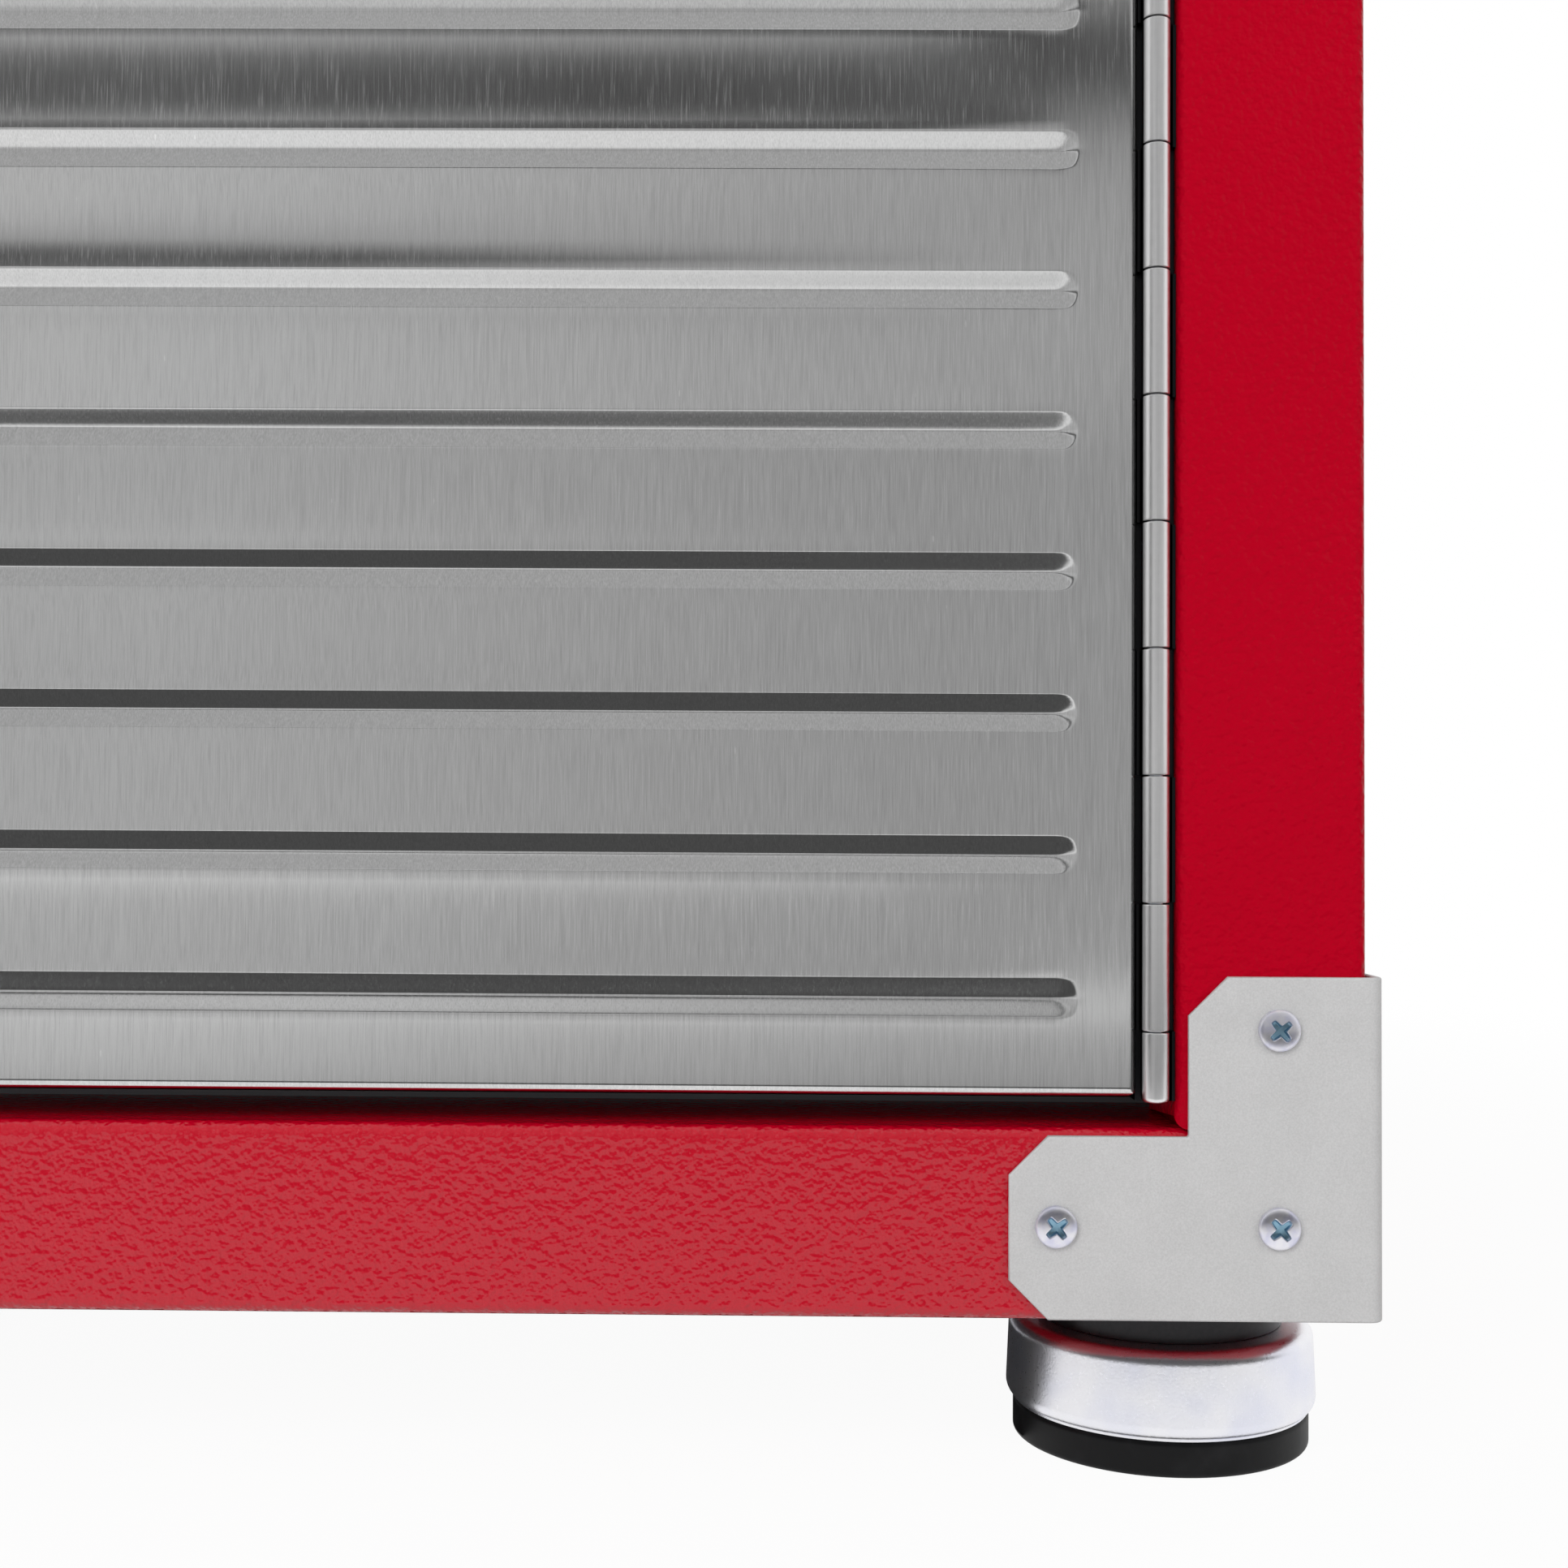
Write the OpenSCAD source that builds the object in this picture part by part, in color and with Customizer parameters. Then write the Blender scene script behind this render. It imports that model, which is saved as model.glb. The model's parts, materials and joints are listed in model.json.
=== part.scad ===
// Tall storage cabinet: folded steel carcass with a wide front border, two ribbed
// stainless doors on continuous hinges, a cam lock, slide bolts and levelling feet.
// Sizes are in millimetres. +Z is up, the doors face -Y, and the origin lies on the
// floor under the middle of the cabinet.

/* [Carcass] */
// Width over the two sides
cab_w = 914; // [760:1:1220]
// Depth from the front border to the back
cab_d = 457; // [380:1:610]
// Height from the floor to the top
cab_h = 1829; // [1500:1:2100]
// Width of the front border, posts and rails alike
border = 38; // [36:0.5:50]
// Sheet of the sides and rails
frame_t = 1.5; // [1:0.1:2]
// Sheet of the panels and shelves
panel_t = 1.2; // [0.8:0.1:2]
// Inside radius of the sheet bends
bend_r = 1; // [0.8:0.1:2]
// Depth of the front posts
post_depth = 32; // [30:1:36]
// Lip at the back edge of each post
post_lip = 12; // [8:1:16]
// Flange that each side turns behind the back panel
back_lip = 20; // [14:1:30]
// Depth of the rail flange next to the doors
rail_depth = 46; // [44:1:60]
// Depth of the rail flange away from the doors
rail_lip = 20; // [14:1:26]
// How far the bottom deck lies on its rail
deck_lap = 8; // [5:1:10]
// Height of the flanges that hang from the deck and the top
panel_flange = 16; // [10:1:18]

/* [Doors] */
// How far the door face lies behind the border
door_setback = 1; // [0.5:0.1:3]
// Thickness of a door
door_thick = 20; // [18:0.5:24]
// Stainless sheet of the door skin
skin_t = 1; // [0.8:0.1:1.2]
// Gap between a door and the rails
door_clear = 6.3; // [4:0.1:9]
// Gap between the two doors
centre_gap = 4; // [3:0.1:6]
// Outside radius of the door edges
skin_edge_r = 1.6; // [1.4:0.1:2.5]
// Notch at each door corner, where two folds meet
corner_relief = 1.9; // [1.8:0.1:4]
// Depth of the inner pan's flanges
pan_flange = 14; // [10:0.5:16]

/* [Pressed grooves] */
// Distance from one groove to the next
groove_pitch = 28.5; // [20:0.1:40]
// Height of a groove across its two slopes
groove_h = 7.5; // [5:0.1:10]
// Depth of a groove
groove_depth = 1.3; // [0.6:0.1:1.6]
// Height of the lowest groove above the door's edge
groove_first = 19.5; // [14:0.5:30]
// Plain margin beside the hinge
groove_margin = 12; // [8:0.5:20]
// Plain band that holds the handle and the lock
handle_band = 76; // [70:1:110]

/* [Hinges] */
// Hinge axis to the post
hinge_to_post = 4.2; // [4:0.1:5]
// Hinge axis to the door edge
hinge_to_door = 3.5; // [3.4:0.1:4.5]
// Outside diameter of the hinge barrel
barrel_d = 5.5; // [5:0.1:6]
// Diameter of the hinge pin
pin_d = 3; // [2.6:0.1:3.2]
// Length of one knuckle
knuckle_pitch = 25.4; // [20:0.1:50.8]
// Length of the lowest knuckle
knuckle_first = 14.2; // [10:0.1:20]
// Gap between two knuckles
knuckle_gap = 0.3; // [0.2:0.05:0.5]
// Sheet of the hinge leaves
leaf_t = 1.2; // [1:0.1:1.4]
// Width of a hinge leaf
leaf_w = 16; // [14:0.5:18]
// Distance between two screws of a leaf
leaf_screw_pitch = 181; // [120:1:240]
// Height of the lowest screw above the end of the leaf
leaf_screw_first = 22; // [15:0.5:40]
// Head of a leaf screw
leaf_screw_head_d = 5.2; // [4.6:0.1:6]
// Shank of a leaf screw
leaf_screw_d = 3; // [2.5:0.1:3.5]

/* [Corner brackets] */
// Width of a bracket
bracket_w = 74.3; // [66:0.1:90]
// Height of a bracket
bracket_h = 68; // [58:0.5:80]
// Width of the upright leg
bracket_leg_w = 38.8; // [34:0.1:39.5]
// Height of the level leg
bracket_leg_h = 36.3; // [32:0.1:37.5]
// Sheet of a bracket
bracket_t = 1.5; // [1:0.1:1.8]
// Corners cut off the ends of the legs
bracket_chamfer = 7.8; // [4:0.1:10]
// How far a bracket stands out from the side
bracket_stand = 3; // [2.2:0.1:4]
// Outside radius of the bracket's bend
bracket_bend_r = 3; // [2.2:0.1:4]
// Depth of the bracket along the side
bracket_flange = 40; // [30:1:60]
// Gap between a bracket and the end of the carcass
bracket_lift = 0.5; // [0.2:0.1:2]
// Screws on the post, from the bracket's outer edge
screw_in = 21; // [18:0.1:24]
// Lower screws, from the bracket's bottom edge
screw_low = 18.5; // [15:0.1:22]
// Upper screw, from the bracket's bottom edge
screw_high = 57.5; // [50:0.1:60]
// Screw on the rail, from the bracket's outer edge
screw_far = 65; // [58:0.1:67]
// Head of a bracket screw
screw_head_d = 8.3; // [7:0.1:9]
// Height of a bracket screw's head
screw_head_h = 2.2; // [1.8:0.1:2.4]
// Shank of a bracket screw
screw_d = 4.5; // [4:0.1:5]
// Length of a bracket screw
screw_len = 11; // [8:0.5:16]

/* [Feet] */
// Height of the carcass above the floor
foot_h = 33; // [30:0.5:40]
// Diameter of the foot's cup
cup_d = 66; // [56:0.5:72]
// How much narrower the cup is at its shoulder
cup_taper = 0.5; // [0:0.1:1]
// Rounded shoulder of the cup
cup_shoulder = 3; // [2:0.1:5]
// Turned-in lip of the cup
cup_lip = 3.2; // [2:0.1:3.5]
// Sheet of the cup
cup_t = 1.4; // [1:0.1:1.6]
// Height of the cup
cup_h = 18; // [16:0.5:20]
// Diameter of the rubber pad
pad_d = 63; // [50:0.5:65]
// Rubber that shows under the cup
pad_show = 9; // [5:0.5:10]
// Diameter of the dark hub on the cup
hub_d = 52; // [40:0.5:54]
// Gap between the hub and the carcass
hub_gap = 1; // [0.5:0.1:2]
// Stud that screws into the carcass
stud_d = 10; // [8:0.5:12]
// Foot centre from the cabinet's side
foot_in = 34.4; // [33.5:0.1:36]
// Foot centre from the front or the back
foot_back = 38; // [38:0.5:44]
// How far a foot can be screwed out
foot_travel = 20; // [10:1:22]
// Thickness of the plates that carry the feet
foot_plate_t = 3; // [2:0.1:4]
// Width and depth of a foot plate
foot_plate_w = 74; // [66:1:90]
// Height of a foot nut
foot_nut_h = 8; // [6:0.5:9]
// Width of a foot nut across its flats
foot_nut_af = 17; // [16:0.5:18]

/* [Handles] */
// Diameter of the handle bar
handle_d = 14; // [10:0.5:18]
// Length of the handle bar
handle_len = 320; // [200:1:500]
// Distance between the two handle posts
handle_span = 256; // [128:1:420]
// Diameter of a handle post
handle_post_d = 10; // [8:0.5:12]
// How far the handle stands out from the door
handle_reach = 40; // [34:0.5:55]
// Handle axis from the door's free edge
handle_in = 46; // [44:0.5:60]
// Height of the middle of the handle
handle_z = 1060; // [900:1:1200]
// Shank of a handle screw
handle_screw_d = 5; // [4:0.5:6]

/* [Lock] */
// Height of the lock
lock_z = 840; // [600:1:880]
// Lock axis from the door's free edge
lock_in = 20; // [18:0.5:22]
// Diameter of the lock housing
lock_d = 19; // [16:0.5:20]
// Diameter of the lock's flange
lock_flange_d = 24; // [22:0.5:26]
// Diameter of the lock plug
plug_d = 12; // [10:0.5:13]
// Length of the cam from its axis
cam_len = 42; // [38:0.5:50]
// Width of the cam
cam_w = 18; // [14:0.5:20]
// Thickness of the cam
cam_t = 2.5; // [2:0.1:3]

/* [Bolts and catches] */
// Diameter of a slide bolt
bolt_d = 10; // [8:0.5:12]
// Length of a slide bolt
bolt_len = 150; // [130:1:200]
// Travel of a slide bolt
bolt_travel = 15; // [12:0.5:18]
// Bolt axis from the door's free edge
bolt_in = 30; // [24:0.5:40]
// Bolt axis from the door's back
bolt_stand = 8; // [7:0.5:9]
// Height of a bolt guide
guide_h = 20; // [14:0.5:24]
// Width of a magnetic catch
catch_w = 46; // [30:1:60]
// Height of a magnetic catch
catch_h = 15; // [12:0.5:18]
// Catch from the middle of the cabinet
catch_x = 110; // [80:1:200]

/* [Shelves] */
// Height of a shelf's folded edge
shelf_edge = 28; // [20:0.5:40]
// Return under a shelf's folded edge
shelf_return = 12; // [8:0.5:16]
// Front of the shelves behind the border
shelf_front = 66; // [60:1:90]
// Gap behind the shelves
shelf_back_gap = 22; // [16:1:40]
// Distance between two slots of a standard
slot_pitch = 25.4; // [20:0.1:32]
// Slots from one shelf to the next
slots_per_shelf = 13; // [9:1:13]
// Depth of a shelf standard
standard_depth = 9; // [7:0.5:12]
// Width of a shelf standard
standard_w = 20; // [16:0.5:26]
// Distance of the standards from the ends of the shelves
standard_in = 50; // [40:1:90]

/* [Hidden] */
$fn = 64;
bend_steps = 5;
fit = 0.05;            // radial clearance of running and threaded fits
hole_fit = 0.1;        // radial clearance of screw holes
seat = 0.3;            // gap to a face that a door closes on

half_w = cab_w / 2;
inner_x = half_w - frame_t;
post_x = half_w - border;
base_z = foot_h;
mid_z = (base_z + cab_h) / 2;
top_z = cab_h - panel_t;
front_y = (handle_reach - door_setback - cab_d) / 2;
back_inner = cab_d - frame_t;
back_face = back_inner - panel_t;
rail_x = inner_x - panel_t - bend_r;
post_room = 10;        // top flange behind the post

axis_x = post_x - hinge_to_post;
door_edge_x = axis_x - hinge_to_door;
door_free_x = centre_gap / 2;
door_bottom = base_z + border + door_clear;
door_top = cab_h - border - door_clear;
door_h = door_top - door_bottom;
door_back = door_setback + door_thick;

barrel_r = barrel_d / 2;
hinge_over = 1;        // hinge past the door's ends
hinge_bottom = door_bottom - hinge_over;
hinge_h = door_h + 2 * hinge_over;
knuckles = 1 + floor((hinge_h - knuckle_first) / knuckle_pitch);
leaf_gap = 0.4;        // leaf behind the barrel
leaf_start = barrel_r + leaf_gap;
leaf_mid = leaf_start + leaf_w / 2;
leaf_screw_h = 1.4;
leaf_screw_len = 6;
frame_screw_z = hinge_bottom + leaf_screw_first;
door_screw_z = frame_screw_z + leaf_screw_pitch / 2;
leaf_screws = floor((hinge_h - 2 * leaf_screw_first) / leaf_screw_pitch);

groove_rows = 1 + floor((door_h - 2 * groove_first) / groove_pitch);
groove_x0 = door_free_x + handle_band + groove_h / 2;
groove_x1 = door_edge_x - groove_margin - groove_h / 2;

bracket_x = half_w + bracket_stand;
bracket_z = base_z + bracket_lift;
bracket_inner_r = 2;
recess_w = 1.2;
recess_len = 4.6;
recess_depth = 1.2;
recess_turn = 40;

foot_x = half_w - foot_in;
cup_z = pad_show - cup_lip / 2;
cup_top = cup_z + cup_h;
lip_turn = 60;          // how far the cup's lip turns in, in degrees
hub_top = foot_h - hub_gap;
hub_edge = 1;
plate_z = base_z + frame_t;
nut_z = plate_z + foot_plate_t;
stud_top = min(nut_z + foot_nut_h + foot_travel + hub_edge, base_z + border - 2 * frame_t);
plate_flange = 16;
plate_gap = 2;         // plate flange behind the post

handle_x = door_free_x + handle_in;
handle_bar_y = door_setback - handle_reach + handle_d / 2;
handle_screw_depth = 14;
handle_screw_head = 3;

lock_x = door_free_x + lock_in;
lock_flange_t = 2;
lock_nut_h = 4;
lock_past_nut = 0.4;
lock_end = door_back + lock_nut_h + lock_past_nut;
lock_nut_af = 24;
plug_proud = 0.5;
cam_gap = 0.6;
cam_y = lock_end + cam_gap;
tenon_d = 8;
cam_screw_d = 4;
cam_screw_len = 8;
cam_screw_head_d = 12;
cam_screw_head = 3;
strike_w = 24;
strike_h = 44;

bolt_x = door_free_x + bolt_in;
bolt_y = door_back + bolt_stand;
bolt_end = 2;          // drawn-back bolt below the door's edge
bolt_hole_gap = 0.6;
guide_w = 26;
guide_wall = 3;
guide_near = 6;
bolt_over = 12;        // bolt above its upper guide
guide_far = bolt_len - bolt_over - guide_h;
knob_d = 12;
knob_len = 22;
knob_z = (guide_near + guide_h + guide_far + bolt_travel) / 2;

catch_depth = 14;

shelf_count = 4;
shelf_half = inner_x - standard_depth - 2;
shelf_back = cab_d - shelf_back_gap;
first_slot = 70;
slot_w = 4;
slot_h = 12;
standard_t = 1.5;
standard_end = 20;     // standards clear of the deck and the top
standard_bottom = base_z + border + panel_t + standard_end;
standard_top = top_z - panel_flange - standard_end;
slots = floor((standard_top - standard_bottom - first_slot) / slot_pitch);
clip_t = 2;
clip_reach = 18;
clip_drop = 14;
hook_in = 4;
hook_gap = 0.2;

red_paint = [0.60, 0.02, 0.05];
grey_paint = [0.33, 0.34, 0.36];
stainless = [0.66, 0.67, 0.68];
silver_paint = [0.74, 0.75, 0.75];
zinc = [0.78, 0.80, 0.83];
dark_steel = [0.16, 0.16, 0.17];
rubber_black = [0.05, 0.05, 0.05];

// Placing

module from_front() { translate([0, front_y, 0]) children(); }

module mirrored() { mirror([1, 0, 0]) children(); }

module both_sides() {
  children();
  mirrored() children();
}

module upside_down() { translate([0, 0, 2 * mid_z]) mirror([0, 0, 1]) children(); }

module front_and_back() {
  children();
  translate([0, cab_d, 0]) mirror([0, 1, 0]) children();
}

module along_x(x0, x1) { translate([x0, 0, 0]) rotate([90, 0, 90]) linear_extrude(x1 - x0) children(); }

module along_y(y0, y1) { translate([0, y1, 0]) rotate([90, 0, 0]) linear_extrude(y1 - y0) children(); }

module along_z(z0, z1) { translate([0, 0, z0]) linear_extrude(z1 - z0) children(); }

module block(low, high) { translate(low) cube(high - low); }

module hole_x(x0, x1, y, z, r) { translate([x0, y, z]) rotate([0, 90, 0]) cylinder(h = x1 - x0, r = r); }

module hole_y(x, y0, y1, z, r) { translate([x, y1, z]) rotate([90, 0, 0]) cylinder(h = y1 - y0, r = r); }

// Folded sheet

function heading(a, b) = (b - a) / norm(b - a);

function left_of(d) = [-d.y, d.x];

function reversed(p) = [for (i = [len(p) - 1:-1:0]) p[i]];

// Length that a bend takes from each of its two flats
function bend_trim(path, i, outer_r) =
  i == 0 || i == len(path) - 1 ? 0
    : outer_r * tan(acos(heading(path[i - 1], path[i]) * heading(path[i], path[i + 1])) / 2);

// Flat of a sheet between two corners of its path
module sheet_flat(path, i, t, outer_r) {
  along = heading(path[i], path[i + 1]);
  a = path[i] + along * bend_trim(path, i, outer_r);
  b = path[i + 1] - along * bend_trim(path, i + 1, outer_r);
  polygon([a, b, b + t * left_of(along), a + t * left_of(along)]);
}

// Round of one left turn
module sheet_bend(path, i, t, outer_r) {
  before = heading(path[i - 1], path[i]);
  after = heading(path[i], path[i + 1]);
  trim = bend_trim(path, i, outer_r);
  centre = path[i] - before * trim + outer_r * left_of(before);
  translate(centre) intersection() {
    difference() {
      circle(r = outer_r);
      circle(r = outer_r - t);
    }
    polygon(2 * [
      [0, 0], path[i] - before * trim - centre, path[i] - centre, path[i] + after * trim - centre
    ]);
  }
}

// Section of a sheet bent along a path of its outer face, with left turns only
module folded(path, t, outer_r) {
  last = len(path) - 1;
  for (i = [0:last - 1]) sheet_flat(path, i, t, outer_r);
  for (i = [1:last - 1]) sheet_bend(path, i, t, outer_r);
}

// Carcass

module side_section() {
  folded([
    [post_x + post_lip, post_depth], [post_x, post_depth], [post_x, 0],
    [half_w, 0], [half_w, cab_d], [half_w - back_lip, cab_d]
  ], frame_t, frame_t + bend_r);
}

// Holes of one bracket's screws through the border
module bracket_holes() {
  for (p = bracket_points())
    hole_y(p.x, -1, frame_t + 1, p.y, screw_d / 2 + hole_fit);
}

function bracket_points() = [
  [bracket_x - screw_in, bracket_z + screw_low],
  [bracket_x - screw_in, bracket_z + screw_high],
  [bracket_x - screw_far, bracket_z + screw_low]
];

// Room at the foot of a post, where the rail runs through
module post_cut() {
  block([post_x - 1, -1, base_z - 1], [inner_x, post_depth + 1, base_z + border]);
}

module side() {
  from_front() difference() {
    along_z(base_z, top_z) side_section();
    post_cut();
    upside_down() post_cut();
    bracket_holes();
    upside_down() bracket_holes();
    for (i = [0:leaf_screws - 1])
      hole_x(post_x - 1, post_x + frame_t + 1, leaf_mid, frame_screw_z + i * leaf_screw_pitch,
        leaf_screw_d / 2 + hole_fit);
  }
}

module right_side() { color(red_paint) side(); }

module left_side() { color(red_paint) mirrored() side(); }

// A rail across both posts' ends: one flange at z1 and one at z0
module rail(z0, depth0, z1, depth1) {
  along_x(-rail_x, rail_x)
    folded([[depth1, z1], [0, z1], [0, z0], [depth0, z0]], frame_t, frame_t + bend_r);
}

module bolt_hole() {
  translate([-bolt_x, bolt_y, base_z + border - 2 * frame_t])
    cylinder(h = 3 * frame_t, r = bolt_d / 2 + bolt_hole_gap);
}

module bottom_rail() {
  color(red_paint) from_front() difference() {
    rail(base_z, rail_lip, base_z + border, rail_depth);
    both_sides() bracket_holes();
    bolt_hole();
  }
}

module top_rail() {
  color(red_paint) from_front() difference() {
    rail(cab_h - border, rail_depth, top_z, rail_lip);
    upside_down() both_sides() bracket_holes();
    upside_down() bolt_hole();
  }
}

function arc_points(centre, r, a0, a1) =
  [for (k = [0:bend_steps]) let (a = a0 + (a1 - a0) * k / bend_steps) centre + r * [cos(a), sin(a)]];

module top_panel() {
  r = frame_t + bend_r;
  flange_y = post_depth + post_room;
  color(red_paint) from_front() {
    along_z(top_z, cab_h) polygon(concat(
      arc_points([r - half_w, r], r, 180, 270), arc_points([half_w - r, r], r, 270, 360),
      arc_points([half_w - r, cab_d - r], r, 0, 90), arc_points([r - half_w, cab_d - r], r, 90, 180)
    ));
    both_sides()
      block([inner_x - panel_t, flange_y, top_z - panel_flange],
        [inner_x, back_face - panel_flange, top_z]);
    block([panel_flange - inner_x, back_face - panel_t, top_z - panel_flange],
      [inner_x - panel_flange, back_face, top_z]);
  }
}

module back_panel() {
  reach = inner_x - bend_r - seat;
  color(red_paint) from_front() block([-reach, back_face, base_z], [reach, back_inner, top_z]);
}

module bottom_deck() {
  z = base_z + border + panel_t;
  color(grey_paint) from_front() along_y(rail_depth - deck_lap, back_face) folded([
    [inner_x, z - panel_flange], [inner_x, z], [-inner_x, z], [-inner_x, z - panel_flange]
  ], panel_t, panel_t + bend_r);
}

// Shelves

function shelf_z(i) = standard_bottom + first_slot + (i * slots_per_shelf - 1) * slot_pitch;

module shelf(i) {
  z = shelf_z(i);
  low = z - shelf_edge;
  color(grey_paint) from_front() along_x(-shelf_half, shelf_half) folded([
    [shelf_back - shelf_return, low], [shelf_back, low], [shelf_back, z],
    [shelf_front, z], [shelf_front, low], [shelf_front + shelf_return, low]
  ], panel_t, panel_t + bend_r);
}

module shelf_1() { shelf(1); }

module shelf_2() { shelf(2); }

module shelf_3() { shelf(3); }

module shelf_4() { shelf(4); }

function standard_y() = [shelf_front + standard_in, shelf_back - standard_in];

// A slotted channel against the right side, centred on y
module standard(y) {
  face_x = inner_x - standard_depth;
  difference() {
    along_z(standard_bottom, standard_top) folded([
      [inner_x, y + standard_w / 2], [face_x, y + standard_w / 2],
      [face_x, y - standard_w / 2], [inner_x, y - standard_w / 2]
    ], standard_t, 2 * standard_t);
    for (k = [0:slots])
      translate([face_x - 1, y - slot_w / 2, standard_bottom + first_slot + k * slot_pitch - slot_h])
        cube([standard_t + 2, slot_w, slot_h]);
  }
}

module shelf_standards() {
  color(grey_paint) from_front() both_sides() for (y = standard_y()) standard(y);
}

// A clip that hooks into a standard, with its ledge under a shelf at height z
module shelf_clip(y, z) {
  face_x = inner_x - standard_depth;
  half = (slot_w - 2 * hook_gap) / 2;
  block([face_x - clip_reach, y - standard_w / 2, z - clip_t], [face_x, y + standard_w / 2, z]);
  block([face_x - clip_t, y - standard_w / 2, z - clip_drop], [face_x, y + standard_w / 2, z]);
  block([face_x - clip_t, y - half, z + panel_t - slot_h], [face_x + hook_in, y + half, z - clip_t]);
}

module shelf_clips() {
  color(zinc) from_front() both_sides()
    for (i = [1:shelf_count], y = standard_y()) shelf_clip(y, shelf_z(i) - panel_t);
}

// Foot carriers

module foot_plate() {
  x0 = inner_x - foot_plate_w;
  y0 = frame_t + bend_r + seat;
  y1 = y0 + foot_plate_w;
  difference() {
    union() {
      block([x0, y0, plate_z], [inner_x, y1, nut_z]);
      block([inner_x - foot_plate_t, post_depth + plate_gap, plate_z],
        [inner_x, y1, plate_z + plate_flange]);
    }
    translate([foot_x, foot_back, plate_z - 1])
      cylinder(h = foot_plate_t + 2, r = stud_d / 2 + hole_fit);
  }
}

module foot_plates() { color(red_paint) from_front() front_and_back() both_sides() foot_plate(); }

module foot_nut() {
  translate([foot_x, foot_back, nut_z]) difference() {
    cylinder(h = foot_nut_h, d = foot_nut_af / cos(30), $fn = 6);
    translate([0, 0, -1]) cylinder(h = foot_nut_h + 2, r = stud_d / 2 + fit);
  }
}

module foot_nuts() { color(zinc) from_front() front_and_back() both_sides() foot_nut(); }

// Corner brackets

// Front outline of the lower right bracket
module bracket_outline() {
  x_leg = bracket_x - bracket_leg_w;
  z_leg = bracket_z + bracket_leg_h;
  x_end = bracket_x - bracket_w;
  z_end = bracket_z + bracket_h;
  c = bracket_chamfer;
  r = bracket_inner_r;
  polygon(concat([
    [bracket_x + 1, bracket_z], [bracket_x + 1, z_end], [x_leg + c, z_end], [x_leg, z_end - c]
  ], arc_points([x_leg - r, z_leg + r], r, 360, 270), [
    [x_end + c, z_leg], [x_end, z_leg - c], [x_end, bracket_z + c], [x_end + c, bracket_z]
  ]));
}

module bracket() {
  from_front() difference() {
    intersection() {
      along_z(bracket_z - 1, bracket_z + bracket_h + 1) folded([
        [bracket_x - bracket_w - 1, -bracket_t], [bracket_x, -bracket_t],
        [bracket_x, bracket_flange]
      ], bracket_t, bracket_bend_r);
      along_y(-bracket_t - 1, bracket_flange + 1) bracket_outline();
    }
    // back corner of the flange
    translate([0, bracket_flange, bracket_z + bracket_h]) rotate([45, 0, 0])
      translate([half_w, -bracket_chamfer / sqrt(2), -bracket_chamfer])
        cube([bracket_stand + 1, 2 * bracket_chamfer, 2 * bracket_chamfer]);
    for (p = bracket_points())
      hole_y(p.x, -bracket_t - 1, 1, p.y, screw_d / 2 + hole_fit);
  }
}

module lower_right_bracket() { color(silver_paint) bracket(); }

module lower_left_bracket() { color(silver_paint) mirrored() bracket(); }

module upper_right_bracket() { color(silver_paint) upside_down() bracket(); }

module upper_left_bracket() { color(silver_paint) upside_down() mirrored() bracket(); }

// A screw with a domed head, standing on z = 0 with its shank below
module pan_screw(head_d, head_h, shank_d, shank_len) {
  rim = head_h / 3;
  rotate_extrude() polygon(concat(
    [[0, -shank_len], [shank_d / 2, -shank_len], [shank_d / 2, 0], [head_d / 2, 0]],
    [for (k = [0:bend_steps]) let (a = 90 * k / bend_steps)
      [head_d / 2 * cos(a), rim + (head_h - rim) * sin(a)]]
  ));
}

module cross_screw() {
  difference() {
    pan_screw(screw_head_d, screw_head_h, screw_d, screw_len);
    for (a = [0, 90])
      rotate([0, 0, recess_turn + a])
        translate([-recess_len / 2, -recess_w / 2, screw_head_h - recess_depth])
          cube([recess_len, recess_w, recess_depth + 1]);
  }
}

module corner_screws() {
  for (p = bracket_points())
    translate([p.x, -bracket_t, p.y]) rotate([90, 0, 0]) cross_screw();
}

module bracket_screws() {
  color(zinc) from_front() both_sides() {
    corner_screws();
    upside_down() corner_screws();
  }
}

// Hinges

function knuckle_start(i) = i == 0 ? 0 : knuckle_first + (i - 1) * knuckle_pitch;

function knuckle_end(i) = i == knuckles - 1 ? hinge_h : knuckle_first + i * knuckle_pitch;

// Rolled end of a leaf whose seat lies at seat_x from the pin
module knuckle_section(seat_x) {
  plate_x = seat_x > 0 ? seat_x - leaf_t : seat_x;
  root = barrel_r - leaf_t - fit;
  difference() {
    union() {
      circle(r = barrel_r);
      translate([min(0, seat_x), root]) square([abs(seat_x), leaf_t]);
      translate([plate_x, root]) square([leaf_t, leaf_start - root + 1]);
    }
    circle(r = pin_d / 2 + fit);
  }
}

// Leaf of the right hinge, with every second knuckle from the given one
module hinge_leaf(seat_x, first_knuckle, screw_z) {
  plate_x = seat_x > 0 ? seat_x - leaf_t : seat_x;
  from_front() translate([axis_x, 0, 0]) difference() {
    union() {
      block([plate_x, leaf_start, hinge_bottom],
        [plate_x + leaf_t, leaf_start + leaf_w, hinge_bottom + hinge_h]);
      for (i = [first_knuckle:2:knuckles - 1])
        along_z(hinge_bottom + knuckle_start(i) + knuckle_gap / 2,
          hinge_bottom + knuckle_end(i) - knuckle_gap / 2) knuckle_section(seat_x);
    }
    leaf_holes(plate_x - 1, plate_x + leaf_t + 1, screw_z);
  }
}

module leaf_holes(x0, x1, screw_z) {
  for (i = [0:leaf_screws - 1])
    hole_x(x0, x1, leaf_mid, screw_z + i * leaf_screw_pitch, leaf_screw_d / 2 + hole_fit);
}

module frame_leaf() { hinge_leaf(hinge_to_post, 0, frame_screw_z); }

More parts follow.
